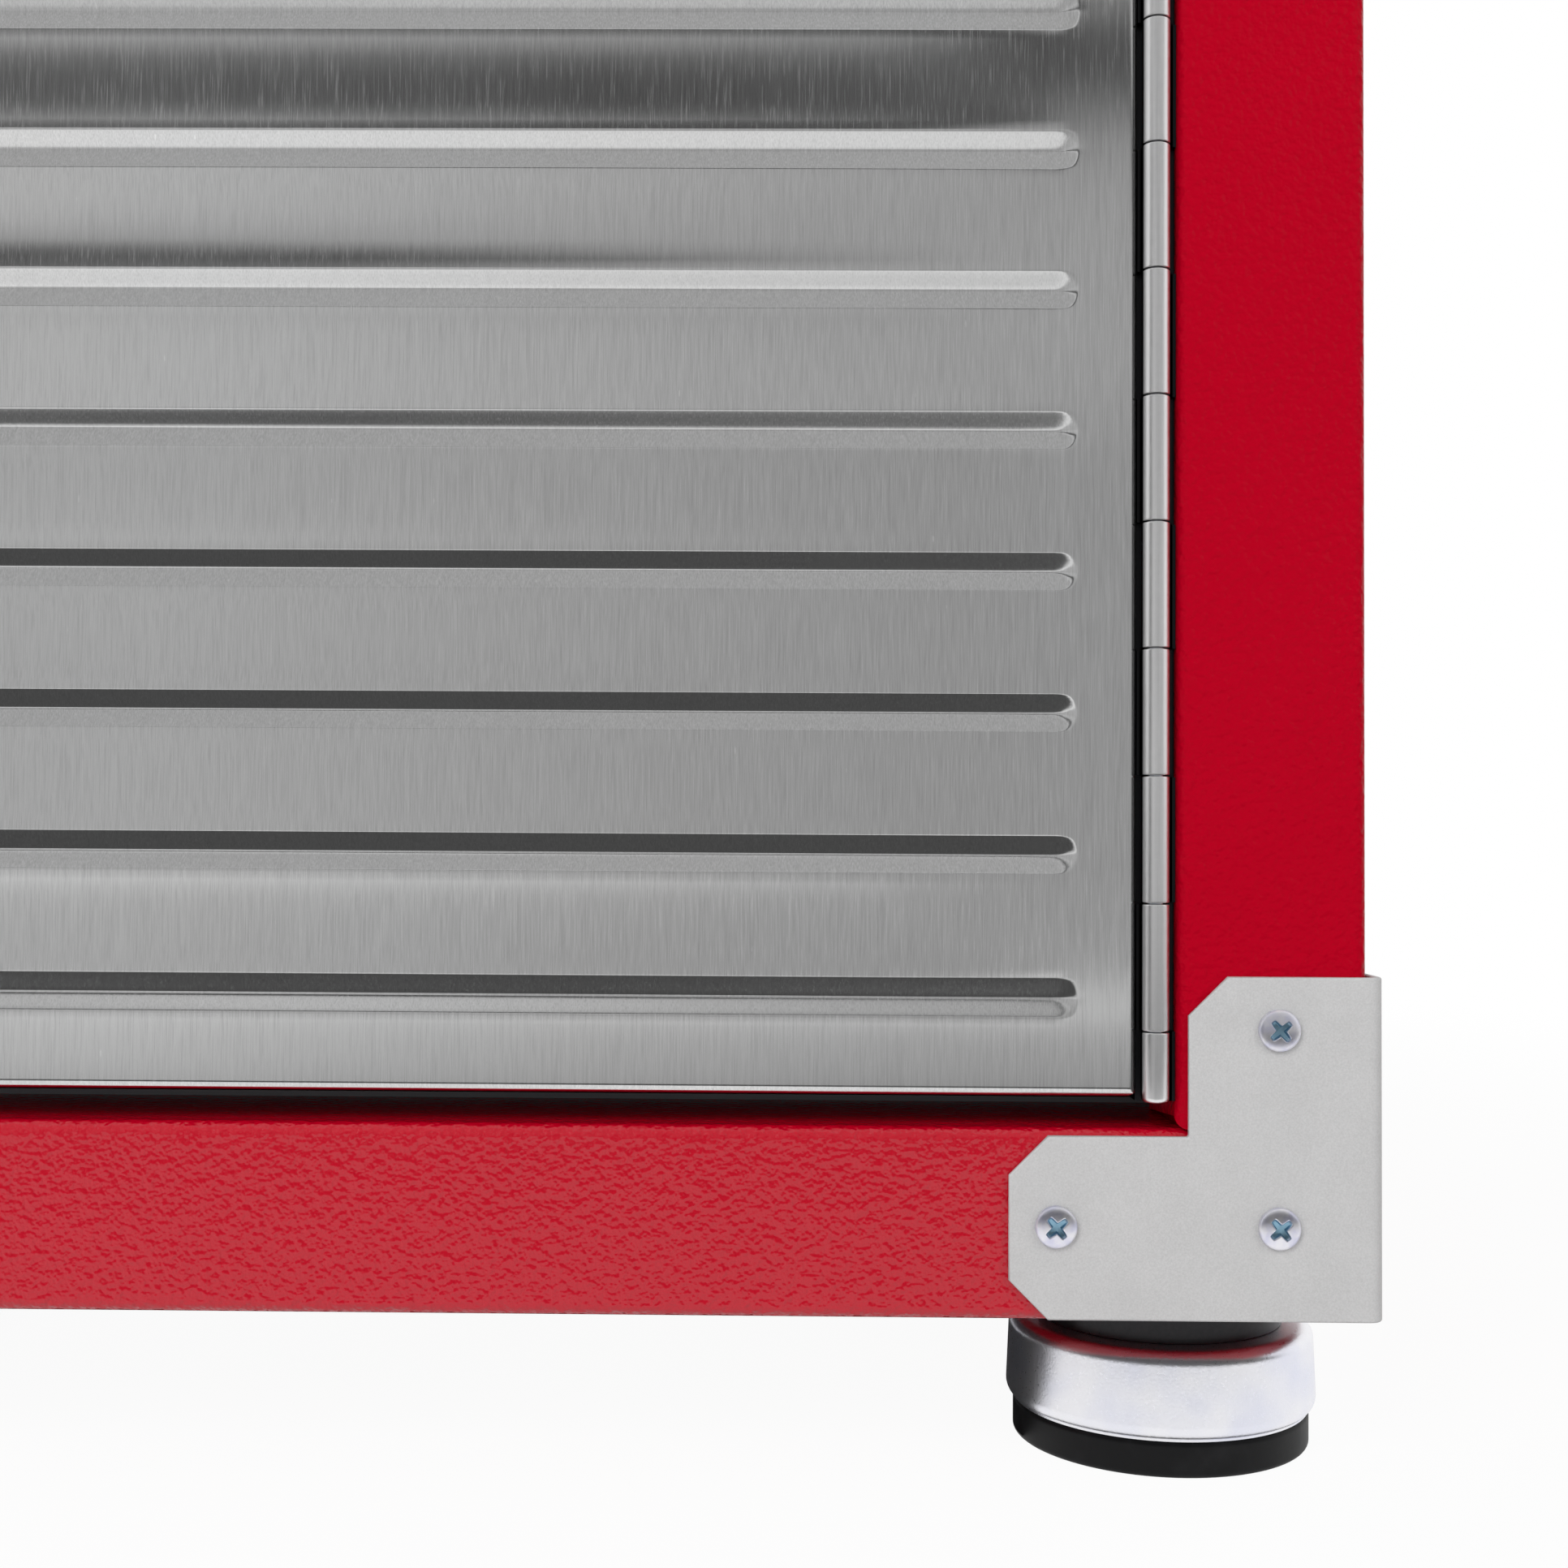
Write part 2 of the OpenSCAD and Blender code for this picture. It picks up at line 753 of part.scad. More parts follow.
module door_leaf() { hinge_leaf(-hinge_to_door, 1, door_screw_z); }

module right_frame_leaf() { color(stainless) frame_leaf(); }

module left_frame_leaf() { color(stainless) mirrored() frame_leaf(); }

module right_door_leaf() { color(stainless) door_leaf(); }

module left_door_leaf() { color(stainless) mirrored() door_leaf(); }

module hinge_pin() {
  from_front() translate([axis_x, 0, hinge_bottom]) cylinder(h = hinge_h, d = pin_d);
}

module right_hinge_pin() { color(zinc) hinge_pin(); }

module left_hinge_pin() { color(zinc) mirrored() hinge_pin(); }

// A row of leaf screws whose heads lie on the plane x, facing the pin
module leaf_screw_row(x, facing, screw_z) {
  for (i = [0:leaf_screws - 1])
    translate([x, leaf_mid, screw_z + i * leaf_screw_pitch]) rotate([0, 90 * facing, 0])
      pan_screw(leaf_screw_head_d, leaf_screw_h, leaf_screw_d, leaf_screw_len);
}

module frame_leaf_screws() {
  color(zinc) from_front() both_sides() leaf_screw_row(post_x - leaf_t, -1, frame_screw_z);
}

module door_leaf_screws() { from_front() leaf_screw_row(door_edge_x + leaf_t, 1, door_screw_z); }

module right_leaf_screws() { color(zinc) door_leaf_screws(); }

module left_leaf_screws() { color(zinc) mirrored() door_leaf_screws(); }

// Doors

// A pressed groove from x = 0 to x = run, its slopes meeting behind the plane y = 0
module groove(run) {
  along_x(0, run) polygon([[0, -groove_h / 2], [groove_depth, 0], [0, groove_h / 2]]);
  for (end = [0, 1])
    translate([end * run, 0, 0]) rotate([-90, 0, 0]) rotate([0, 0, 90 - 180 * end])
      rotate_extrude(angle = 180) polygon([[0, 0], [groove_h / 2, 0], [0, groove_depth]]);
}

module groove_rows(y) {
  for (i = [0:groove_rows - 1])
    translate([groove_x0, y, door_bottom + groove_first + i * groove_pitch])
      groove(groove_x1 - groove_x0);
}

module lock_hole(y0, y1) { hole_y(lock_x, y0, y1, lock_z, lock_d / 2 + hole_fit); }

// Folded tray: four returns run back from the face, with notched corners
module skin_tray() {
  along_z(door_bottom + corner_relief, door_top - corner_relief) folded([
    [door_free_x, door_back], [door_free_x, door_setback],
    [door_edge_x, door_setback], [door_edge_x, door_back]
  ], skin_t, skin_edge_r);
  along_x(door_free_x + corner_relief, door_edge_x - corner_relief) folded([
    [door_back, door_top], [door_setback, door_top],
    [door_setback, door_bottom], [door_back, door_bottom]
  ], skin_t, skin_edge_r);
}

// Skin of the right door
module door_skin() {
  from_front() difference() {
    union() {
      skin_tray();
      groove_rows(door_setback + skin_t);
    }
    groove_rows(door_setback);
    for (z = handle_screw_z())
      hole_y(handle_x, door_setback - 1, door_setback + skin_t + 1, z, handle_screw_d / 2 + hole_fit);
    leaf_holes_in_door();
  }
}

module leaf_holes_in_door() {
  translate([door_edge_x, 0, 0]) leaf_holes(-leaf_screw_len, 1, door_screw_z);
}

module right_door_skin() {
  color(stainless) difference() {
    door_skin();
    from_front() lock_hole(door_setback - 1, door_setback + skin_t + 1);
  }
}

module left_door_skin() { color(stainless) mirrored() door_skin(); }

// Inner pan of the right door, inside the returns of the skin
module door_pan() {
  x0 = door_free_x + skin_t;
  x1 = door_edge_x - skin_t;
  z0 = door_bottom + skin_t;
  z1 = door_top - skin_t;
  front = door_back - pan_flange;
  from_front() difference() {
    union() {
      along_z(z0 + corner_relief, z1 - corner_relief) folded([
        [x1, front], [x1, door_back], [x0, door_back], [x0, front]
      ], panel_t, skin_edge_r);
      along_x(x0 + corner_relief, x1 - corner_relief) folded([
        [front, z0], [door_back, z0], [door_back, z1], [front, z1]
      ], panel_t, skin_edge_r);
    }
    leaf_holes_in_door();
  }
}

module right_door_pan() {
  color(grey_paint) difference() {
    door_pan();
    from_front() lock_hole(door_back - panel_t - 1, door_back + 1);
  }
}

module left_door_pan() { color(grey_paint) mirrored() door_pan(); }

// Handles

function handle_screw_z() = [handle_z - handle_span / 2, handle_z + handle_span / 2];

module handle() {
  edge = handle_d / 7;
  r = handle_d / 2;
  from_front() difference() {
    union() {
      translate([handle_x, handle_bar_y, handle_z - handle_len / 2]) rotate_extrude() polygon([
        [0, 0], [r - edge, 0], [r, edge], [r, handle_len - edge], [r - edge, handle_len], [0, handle_len]
      ]);
      for (z = handle_screw_z())
        hole_y(handle_x, handle_bar_y, door_setback, z, handle_post_d / 2);
    }
    for (z = handle_screw_z())
      hole_y(handle_x, door_setback - handle_screw_depth - 1, door_setback + 1, z,
        handle_screw_d / 2 + fit);
  }
}

module right_handle() { color(stainless) handle(); }

module left_handle() { color(stainless) mirrored() handle(); }

module handle_screws() {
  from_front() for (z = handle_screw_z())
    translate([handle_x, door_setback + skin_t, z]) rotate([-90, 0, 0])
      pan_screw(2 * handle_screw_d, handle_screw_head, handle_screw_d, handle_screw_depth + skin_t);
}

module right_handle_screws() { color(zinc) handle_screws(); }

module left_handle_screws() { color(zinc) mirrored() handle_screws(); }

// Lock

// Turns a shape built along +Z into one that runs back from the door's face
module lock_axis() {
  from_front() translate([lock_x, door_setback, lock_z]) rotate([-90, 0, 0]) children();
}

module lock_body() {
  reach = lock_end - door_setback;
  color(zinc) lock_axis() rotate_extrude() polygon([
    [plug_d / 2 + fit, -lock_flange_t], [lock_flange_d / 2 - 0.5, -lock_flange_t],
    [lock_flange_d / 2, 0.5 - lock_flange_t], [lock_flange_d / 2, 0], [lock_d / 2, 0],
    [lock_d / 2, reach], [plug_d / 2 + fit, reach]
  ]);
}

module lock_nut() {
  color(zinc) lock_axis() translate([0, 0, door_thick]) difference() {
    cylinder(h = lock_nut_h, d = lock_nut_af / cos(30), $fn = 6);
    translate([0, 0, -1]) cylinder(h = lock_nut_h + 2, r = lock_d / 2 + fit);
  }
}

module lock_plug() {
  rear = cam_y - door_setback;
  key_w = 1.4;
  key_h = 8;
  key_depth = 6;
  color(zinc) lock_axis() difference() {
    union() {
      translate([0, 0, -lock_flange_t - plug_proud])
        cylinder(h = rear + lock_flange_t + plug_proud, d = plug_d);
      cylinder(h = rear + cam_t, d = tenon_d);
    }
    translate([-key_w / 2, -key_h / 2, -lock_flange_t - plug_proud - 1]) cube([key_w, key_h, key_depth]);
    translate([0, 0, rear + cam_t - cam_screw_len - 1])
      cylinder(h = cam_screw_len + 2, r = cam_screw_d / 2 + fit);
  }
}

// Points down while unlocked
module lock_cam() {
  color(zinc) from_front() difference() {
    union() {
      hole_y(lock_x, cam_y, cam_y + cam_t, lock_z, cam_w / 2);
      block([lock_x - cam_w / 2, cam_y, lock_z - cam_len], [lock_x + cam_w / 2, cam_y + cam_t, lock_z]);
    }
    hole_y(lock_x, cam_y - 1, cam_y + cam_t + 1, lock_z, tenon_d / 2 + fit);
  }
}

module cam_screw() {
  color(zinc) lock_axis() translate([0, 0, cam_y + cam_t - door_setback])
    pan_screw(cam_screw_head_d, cam_screw_head, cam_screw_d, cam_screw_len);
}

// Block on the left door that the cam turns behind
module lock_strike() {
  front_gap = cam_y - seat;
  edge_gap = 3;
  color(zinc) from_front()
    block([-door_free_x - edge_gap - strike_w, door_back, lock_z - strike_h / 2],
      [-door_free_x - edge_gap, front_gap, lock_z + strike_h / 2]);
}

// Slide bolts

// Lower guides of the left door, measured up from the door's bottom edge
module guide_pair() {
  for (z = [guide_near, guide_far])
    translate([-bolt_x, 0, door_bottom + z]) difference() {
      union() {
        block([-guide_w / 2, door_back, 0], [guide_w / 2, door_back + panel_t, guide_h]);
        translate([0, bolt_y, 0]) cylinder(h = guide_h, r = bolt_d / 2 + guide_wall);
        block([-bolt_d / 2 - guide_wall, door_back, 0], [bolt_d / 2 + guide_wall, bolt_y, guide_h]);
      }
      translate([0, bolt_y, -1]) cylinder(h = guide_h + 2, r = bolt_d / 2 + fit);
    }
}

module bolt_guides() {
  color(zinc) from_front() {
    guide_pair();
    upside_down() guide_pair();
  }
}

module slide_bolt() {
  from_front() translate([-bolt_x, bolt_y, door_bottom]) {
    translate([0, 0, bolt_end]) cylinder(h = bolt_len - bolt_end, d = bolt_d);
    translate([0, 0, knob_z]) rotate([-90, 0, 0]) cylinder(h = knob_len, d = knob_d);
  }
}

module lower_bolt() { color(stainless) slide_bolt(); }

module upper_bolt() { color(stainless) upside_down() slide_bolt(); }

module door_catches() {
  z = cab_h - border;
  y = door_back + seat;
  slot = 2;
  color(dark_steel) from_front() both_sides() difference() {
    block([catch_x - catch_w / 2, y, z - catch_h], [catch_x + catch_w / 2, y + catch_depth, z]);
    for (side = [-1, 1])
      block([catch_x + side * catch_w / 4 - slot / 2, y - 1, z - catch_h - 1],
        [catch_x + side * catch_w / 4 + slot / 2, y + slot, z - slot]);
  }
}

// Feet

module at_foot(right, rear) {
  x = right ? foot_x : -foot_x;
  y = rear ? cab_d - foot_back : foot_back;
  from_front() translate([x, y, 0]) children();
}

// Pressed cup with a rounded shoulder, a slight taper and a turned-in lip
module cup_section(inset) {
  r = cup_d / 2 - inset;
  top_r = r - cup_taper;
  shoulder = cup_shoulder - inset;
  polygon(concat(
    [[0, cup_top - inset]],
    reversed(arc_points([top_r - shoulder, cup_top - inset - shoulder], shoulder, 0, 90)),
    reversed(arc_points([r - cup_lip, cup_z + cup_lip], cup_lip, -lip_turn, 0)),
    [[r - cup_lip * (1 - cos(lip_turn)), cup_z], [0, cup_z]]
  ));
}

module foot_cup(right, rear) {
  color(zinc) at_foot(right, rear) rotate_extrude() difference() {
    cup_section(0);
    translate([0, -fit]) cup_section(cup_t);
    square([stud_d / 2 + hole_fit, cup_top + 1]);
  }
}

module foot_pad(right, rear) {
  r = pad_d / 2;
  edge = 1;
  lip_r = cup_d / 2 - cup_t - cup_lip * (1 - cos(lip_turn)) - hole_fit;
  neck_r = cup_d / 2 - cup_taper - cup_shoulder;
  neck_z = cup_z + cup_lip;
  roof = cup_top - cup_t - fit;
  color(rubber_black) at_foot(right, rear) rotate_extrude() polygon([
    [0, 0], [r - edge, 0], [r, edge], [r, cup_z - fit], [lip_r, cup_z - fit],
    [lip_r, neck_z], [neck_r, neck_z], [neck_r, roof], [0, roof]
  ]);
}

module foot_stud(right, rear) {
  r = hub_d / 2;
  color(dark_steel) at_foot(right, rear) rotate_extrude() polygon([
    [0, cup_top], [r, cup_top], [r, hub_top - hub_edge], [r - hub_edge, hub_top],
    [stud_d / 2, hub_top], [stud_d / 2, stud_top - hub_edge],
    [stud_d / 2 - hub_edge, stud_top], [0, stud_top]
  ]);
}

module front_right_cup() { foot_cup(true, false); }

module front_right_pad() { foot_pad(true, false); }

module front_right_stud() { foot_stud(true, false); }

module front_left_cup() { foot_cup(false, false); }

module front_left_pad() { foot_pad(false, false); }

module front_left_stud() { foot_stud(false, false); }

module rear_right_cup() { foot_cup(true, true); }

module rear_right_pad() { foot_pad(true, true); }

module rear_right_stud() { foot_stud(true, true); }

module rear_left_cup() { foot_cup(false, true); }

module rear_left_pad() { foot_pad(false, true); }

module rear_left_stud() { foot_stud(false, true); }

right_side();
left_side();
bottom_rail();
top_rail();
top_panel();
back_panel();
bottom_deck();
shelf_1();
shelf_2();
shelf_3();
shelf_4();
shelf_standards();
shelf_clips();
foot_plates();
foot_nuts();
lower_right_bracket();
lower_left_bracket();
upper_right_bracket();
upper_left_bracket();
bracket_screws();
right_frame_leaf();
left_frame_leaf();
right_hinge_pin();
left_hinge_pin();
frame_leaf_screws();
door_catches();
right_door_skin();
right_door_pan();
right_door_leaf();
right_leaf_screws();
right_handle();
right_handle_screws();
lock_body();
lock_nut();
lock_plug();
lock_cam();
cam_screw();
left_door_skin();
left_door_pan();
left_door_leaf();
left_leaf_screws();
left_handle();
left_handle_screws();
lock_strike();
bolt_guides();
upper_bolt();
lower_bolt();
front_right_cup();
front_right_pad();
front_right_stud();
front_left_cup();
front_left_pad();
front_left_stud();
rear_right_cup();
rear_right_pad();
rear_right_stud();
rear_left_cup();
rear_left_pad();
rear_left_stud();
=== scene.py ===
import json

import bmesh
import bpy
import numpy as np
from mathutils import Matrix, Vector


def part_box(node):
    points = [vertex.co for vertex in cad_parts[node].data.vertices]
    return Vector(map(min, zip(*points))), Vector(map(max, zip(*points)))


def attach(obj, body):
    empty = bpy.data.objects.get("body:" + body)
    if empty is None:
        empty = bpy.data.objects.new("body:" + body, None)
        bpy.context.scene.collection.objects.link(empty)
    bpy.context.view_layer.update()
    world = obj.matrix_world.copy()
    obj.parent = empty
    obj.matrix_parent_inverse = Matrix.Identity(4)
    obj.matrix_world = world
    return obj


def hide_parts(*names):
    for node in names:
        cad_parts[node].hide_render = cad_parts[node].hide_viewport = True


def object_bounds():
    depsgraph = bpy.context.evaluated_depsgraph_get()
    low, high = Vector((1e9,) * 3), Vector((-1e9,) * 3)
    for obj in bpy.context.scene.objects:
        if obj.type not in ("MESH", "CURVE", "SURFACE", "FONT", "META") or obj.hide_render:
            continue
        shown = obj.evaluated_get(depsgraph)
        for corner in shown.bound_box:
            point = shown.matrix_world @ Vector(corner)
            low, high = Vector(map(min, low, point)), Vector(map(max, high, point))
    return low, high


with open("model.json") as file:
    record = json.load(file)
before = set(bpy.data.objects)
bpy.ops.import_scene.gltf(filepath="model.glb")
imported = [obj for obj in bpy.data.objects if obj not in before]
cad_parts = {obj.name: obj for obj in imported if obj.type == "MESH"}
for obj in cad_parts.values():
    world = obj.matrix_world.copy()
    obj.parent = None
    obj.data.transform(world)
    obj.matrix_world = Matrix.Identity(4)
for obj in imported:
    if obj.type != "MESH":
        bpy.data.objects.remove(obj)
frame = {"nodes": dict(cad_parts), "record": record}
cadBox = [list(corner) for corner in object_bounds()]
mm = 0.001
deg = np.pi / 180
print("frame loaded:", len(frame["nodes"]), "nodes")


# Shading

class Wire:
    # One output of a node tree; sums on it add Math nodes
    def __init__(self, tree, socket=None):
        self.tree = tree
        self.socket = socket

    def node(self, kind, settings=None, sockets=None, out=0):
        made = self.tree.nodes.new(kind)
        for key, value in (settings or {}).items():
            if key == "stops":
                ramp = made.color_ramp.elements
                while len(ramp) < len(value):
                    ramp.new(1)
                for stop, (place, shade) in zip(ramp, value):
                    stop.position = place
                    stop.color = (*shade, 1) if np.ndim(shade) else (shade, shade, shade, 1)
            else:
                setattr(made, key, value)
        for key, value in (sockets or {}).items():
            if isinstance(value, Wire):
                self.tree.links.new(value.socket, made.inputs[key])
            else:
                made.inputs[key].default_value = value
        return Wire(self.tree, made.outputs[out])

    def math(self, operation, a, b=0.0):
        return self.node("ShaderNodeMath", {"operation": operation}, {0: a, 1: b})

    def __add__(self, other):
        return self.math("ADD", self, other)

    __radd__ = __add__

    def __sub__(self, other):
        return self.math("SUBTRACT", self, other)

    def __rsub__(self, other):
        return self.math("SUBTRACT", other, self)

    def __mul__(self, other):
        return self.math("MULTIPLY", self, other)

    __rmul__ = __mul__

    def __truediv__(self, other):
        return self.math("DIVIDE", self, other)

    # Place on the object in metres, stretched by a factor along each axis
    def place(self, stretch=(1, 1, 1)):
        spot = self.node("ShaderNodeTexCoord", out="Object")
        return self.node("ShaderNodeVectorMath", {"operation": "MULTIPLY"}, {0: spot, 1: stretch})

    def noise(self, spot, size, detail=2.0):
        return self.node("ShaderNodeTexNoise", None, {"Vector": spot, "Scale": 1 / size, "Detail": detail})

    def blend(self, amount, first, second):
        return self.node("ShaderNodeMix", {"data_type": "RGBA"}, {0: amount, 6: first, 7: second}, out=2)

    def bump(self, height, depth, strength=1.0):
        return self.node("ShaderNodeBump", None, {"Height": height, "Distance": depth, "Strength": strength})

    # This colour times a number
    def scaled(self, amount):
        return self.node("ShaderNodeVectorMath", {"operation": "SCALE"}, {0: self, "Scale": amount})

    # Ramp from 0 to 1 between two levels
    def step(self, low, high):
        return self.node("ShaderNodeMapRange", {"interpolation_type": "SMOOTHSTEP"},
                         {"Value": self, "From Min": low, "From Max": high})


def shade(colour):
    return (*colour, 1.0)


# A material: the plain numbers go straight on the shader, and the recipe returns the varying inputs
def newFinish(name, plain, recipe):
    material = bpy.data.materials.new(name)
    material.use_nodes = True
    tree = material.node_tree
    shader = tree.nodes["Principled BSDF"]
    for key, value in plain.items():
        shader.inputs[key].default_value = value
    for key, wire in recipe(Wire(tree)).items():
        tree.links.new(wire.socket, shader.inputs[key])
    return material


redCoat = dict(light=(0.505, 0.0, 0.0148), dark=(0.44, 0.0, 0.0122), peel=1.5 * mm, depth=0.5 * mm,
               grain=0.5 * mm, cloud=60 * mm, roughness=0.18, gloss=0.04, tone=0.9, railGloss=0.56)


# Orange peel: soft swells about a millimetre wide with a fine grain on them. The rail is glossier and keeps
# the full red, while the other copy is scaled by the tone to a darker red: painted shade on one paint
def redRecipe(tone):
    def recipe(start):
        spot = start.place()
        peel = start.noise(spot, redCoat["peel"], 1.0)
        grain = start.noise(spot, redCoat["grain"], 2.0)
        cloud = start.noise(spot, redCoat["cloud"], 3.0)
        paint = start.blend(cloud * 0.6 + peel * 0.4, shade(redCoat["dark"]), shade(redCoat["light"]))
        return {
            "Base Color": paint.scaled(tone),
            "Roughness": redCoat["roughness"] + 0.12 * (grain - 0.5) + 0.06 * (cloud - 0.5),
            "Normal": start.bump(peel + 0.1 * grain, redCoat["depth"]),
        }
    return recipe


greyCoat = dict(light=(0.19, 0.195, 0.205), dark=(0.15, 0.155, 0.165), peel=1.6 * mm, depth=0.15 * mm,
                cloud=90 * mm, roughness=0.46, gloss=0.3)


def greyRecipe(start):
    spot = start.place()
    peel = start.noise(spot, greyCoat["peel"], 1.5)
    cloud = start.noise(spot, greyCoat["cloud"], 3.0)
    return {
        "Base Color": start.blend(cloud, shade(greyCoat["dark"]), shade(greyCoat["light"])),
        "Roughness": greyCoat["roughness"] + 0.1 * (peel - 0.5),
        "Normal": start.bump(peel, greyCoat["depth"], 0.5),
    }


# Brush lines that run up the door, from noise drawn out along z
brushed = dict(tone=0.66, contrast=0.4, roughness=0.18, along=0.95, line=0.22 * mm, run=0.03, broad=0.9 * mm,
               broadRun=0.02, scratch=0.05, fleck=0.1, fleckSize=0.9 * mm, fleckRun=0.25, cloud=45 * mm,
               cloudRun=0.3, warm=(1.0, 0.995, 0.99), cool=(0.99, 0.997, 1.0))


def brushedRecipe(start):
    thin = start.noise(start.place((1, 1, brushed["run"])), brushed["line"], 2.0)
    broad = start.noise(start.place((1, 1, brushed["broadRun"])), brushed["broad"], 3.0)
    cloud = start.noise(start.place((1, 1, brushed["cloudRun"])), brushed["cloud"], 2.0)
    fleck = start.noise(start.place((1, 1, brushed["fleckRun"])), brushed["fleckSize"], 0.0).step(0.86, 0.9)
    lines = 0.75 * (thin - 0.5) + 0.25 * (broad - 0.5)
    tone = brushed["tone"] + brushed["contrast"] * lines + 0.03 * (cloud - 0.5) + brushed["fleck"] * fleck
    cast = start.blend(cloud, shade(brushed["warm"]), shade(brushed["cool"]))
    return {
        "Base Color": cast.scaled(tone),
        "Roughness": brushed["roughness"] + brushed["scratch"] * thin.step(0.57, 0.7) + 0.03 * (cloud - 0.5),
    }


# Rolled steel with painted shade, near black, on the leaves behind the barrel and along both sides of the
# knuckles, which lie
# near the pin: a side is where the way out from the pin has little depth in it
hingeSteel = dict(light=(0.98, 0.975, 0.975), dark=(0.68, 0.68, 0.685), shadeTone=(0.02, 0.02, 0.022),
                  roughness=0.34, knuckle=2.85 * mm, edge=0.2 * mm, shadeFrom=0.2 * mm, shadeTo=1.4 * mm,
                  sideShadeFrom=0.6, sideShadeTo=0.9, rim=(0.4, 0.4, 0.4), streak=0.45 * mm, streakRun=0.02,
                  scuff=1.5 * mm, depth=0.03 * mm)


def hingeRecipe(start):
    streak = start.noise(start.place((1, 1, hingeSteel["streakRun"])), hingeSteel["streak"], 3.0)
    scuff = start.noise(start.place(), hingeSteel["scuff"], 4.0)
    x, y = [start.node("ShaderNodeSeparateXYZ", None, {0: start.place()}, out=axis) for axis in range(2)]
    offX, offY = start.math("ABSOLUTE", x) - axisX, y - axisY
    away = start.math("SQRT", offX * offX + offY * offY)
    leaf = away.step(hingeSteel["knuckle"], hingeSteel["knuckle"] + hingeSteel["edge"])
    side = (1 - start.math("ABSOLUTE", offY / away)).step(hingeSteel["sideShadeFrom"], hingeSteel["sideShadeTo"])
    deep = (y - frontY).step(hingeSteel["shadeFrom"], hingeSteel["shadeTo"])
    # painted shade: the leaves deep behind the barrel and the knuckles' sides, where the gap lies in shadow
    paintedShade = start.math("MAXIMUM", leaf * deep, (1 - leaf) * side)
    unshaded = start.blend(streak * 0.75 + scuff * 0.25, shade(hingeSteel["dark"]), shade(hingeSteel["light"]))
    return {
        "Base Color": start.blend(paintedShade, unshaded, shade(hingeSteel["shadeTone"])),
        "Roughness": hingeSteel["roughness"] + 0.15 * (scuff - 0.5) + 0.1 * (streak - 0.5),
        "Normal": start.bump(scuff, hingeSteel["depth"], 0.3),
    }


silverPaint = dict(light=(0.65, 0.65, 0.65), dark=(0.41, 0.41, 0.41), fleck=0.36 * mm, depth=0.03 * mm,
                   cloud=9 * mm, roughness=0.5, gloss=0.3)


def silverRecipe(start):
    spot = start.place()
    fleck = start.noise(spot, silverPaint["fleck"], 2.0)
    cloud = start.noise(spot, silverPaint["cloud"], 2.0)
    mixed = fleck * 0.75 + cloud * 0.25
    return {
        "Base Color": start.blend(mixed, shade(silverPaint["dark"]), shade(silverPaint["light"])),
        "Roughness": silverPaint["roughness"] + 0.16 * (fleck - 0.5),
        "Normal": start.bump(fleck, silverPaint["depth"], 0.35),
    }


# Zinc plating: pale metal that drifts to blue and violet, painted darker and bluer where a mesh marks its
# recesses, as painted shade tinted like the plating
def zincRecipe(zinc):
    def recipe(start):
        spot = start.place()
        film = start.noise(spot, zinc["film"], 2.0)
        grain = start.noise(spot, zinc["grain"], 3.0)
        # the recess mark paints shade into the screws' cross recesses
        recess = start.node("ShaderNodeAttribute", {"attribute_name": "recess"}, out="Fac")
        plain = start.blend(film.step(0.3, 0.75), shade(zinc["light"]), shade(zinc["tint"]))
        return {
            "Base Color": start.blend(recess, plain, shade(zinc["recess"])),
            "Roughness": zinc["roughness"] + 0.2 * (grain - 0.5),
            "Normal": start.bump(grain, zinc["depth"], 0.5),
        }
    return recipe


zincKinds = dict(
    # screw recess colour: painted shade in the cross; only the bracket screws carry the recess mark
    screw=dict(light=(0.90, 0.89, 0.93), tint=(0.72, 0.72, 0.86), recess=(0.30, 0.50, 0.64), film=2.5 * mm,
               grain=0.4 * mm, roughness=0.42, depth=0.015 * mm),
    plate=dict(light=(0.66, 0.67, 0.69), tint=(0.52, 0.55, 0.62), recess=(0.1, 0.1, 0.1), film=6 * mm,
               grain=0.5 * mm, roughness=0.38, depth=0.03 * mm),
    cup=dict(light=(0.90, 0.90, 0.93), tint=(0.78, 0.795, 0.90), recess=(0.1, 0.1, 0.1), film=14 * mm,
             grain=0.5 * mm, roughness=0.31, depth=0.06 * mm),
)

# Near-black steel for the foot's hub and stud, partly the steel's own dark finish and partly painted shade
# for the hub in the cabinet's shadow
blackSteelAndShade = dict(light=(0.036, 0.036, 0.038), dark=(0.012, 0.012, 0.0135), grain=1.1 * mm, depth=0.03 * mm,
                  roughness=0.32, metal=0.7)


def blackAndShadeRecipe(start):
    grain = start.noise(start.place(), blackSteelAndShade["grain"], 3.0)
    return {
        "Base Color": start.blend(grain, shade(blackSteelAndShade["dark"]), shade(blackSteelAndShade["light"])),
        "Roughness": blackSteelAndShade["roughness"] + 0.2 * (grain - 0.5),
        "Normal": start.bump(grain, blackSteelAndShade["depth"], 0.4),
    }


rubber = dict(light=(0.011, 0.011, 0.012), dark=(0.004, 0.004, 0.0045), grain=0.8 * mm, depth=0.04 * mm,
              dust=7 * mm, roughness=0.5, gloss=0.2)


def rubberRecipe(start):
    grain = start.noise(start.place(), rubber["grain"], 3.0)
    dust = start.noise(start.place(), rubber["dust"], 4.0)
    return {
        "Base Color": start.blend(dust.step(0.45, 0.8), shade(rubber["dark"]), shade(rubber["light"])),
        "Roughness": rubber["roughness"] + 0.25 * (dust - 0.5),
        "Normal": start.bump(grain, rubber["depth"], 0.4),
    }


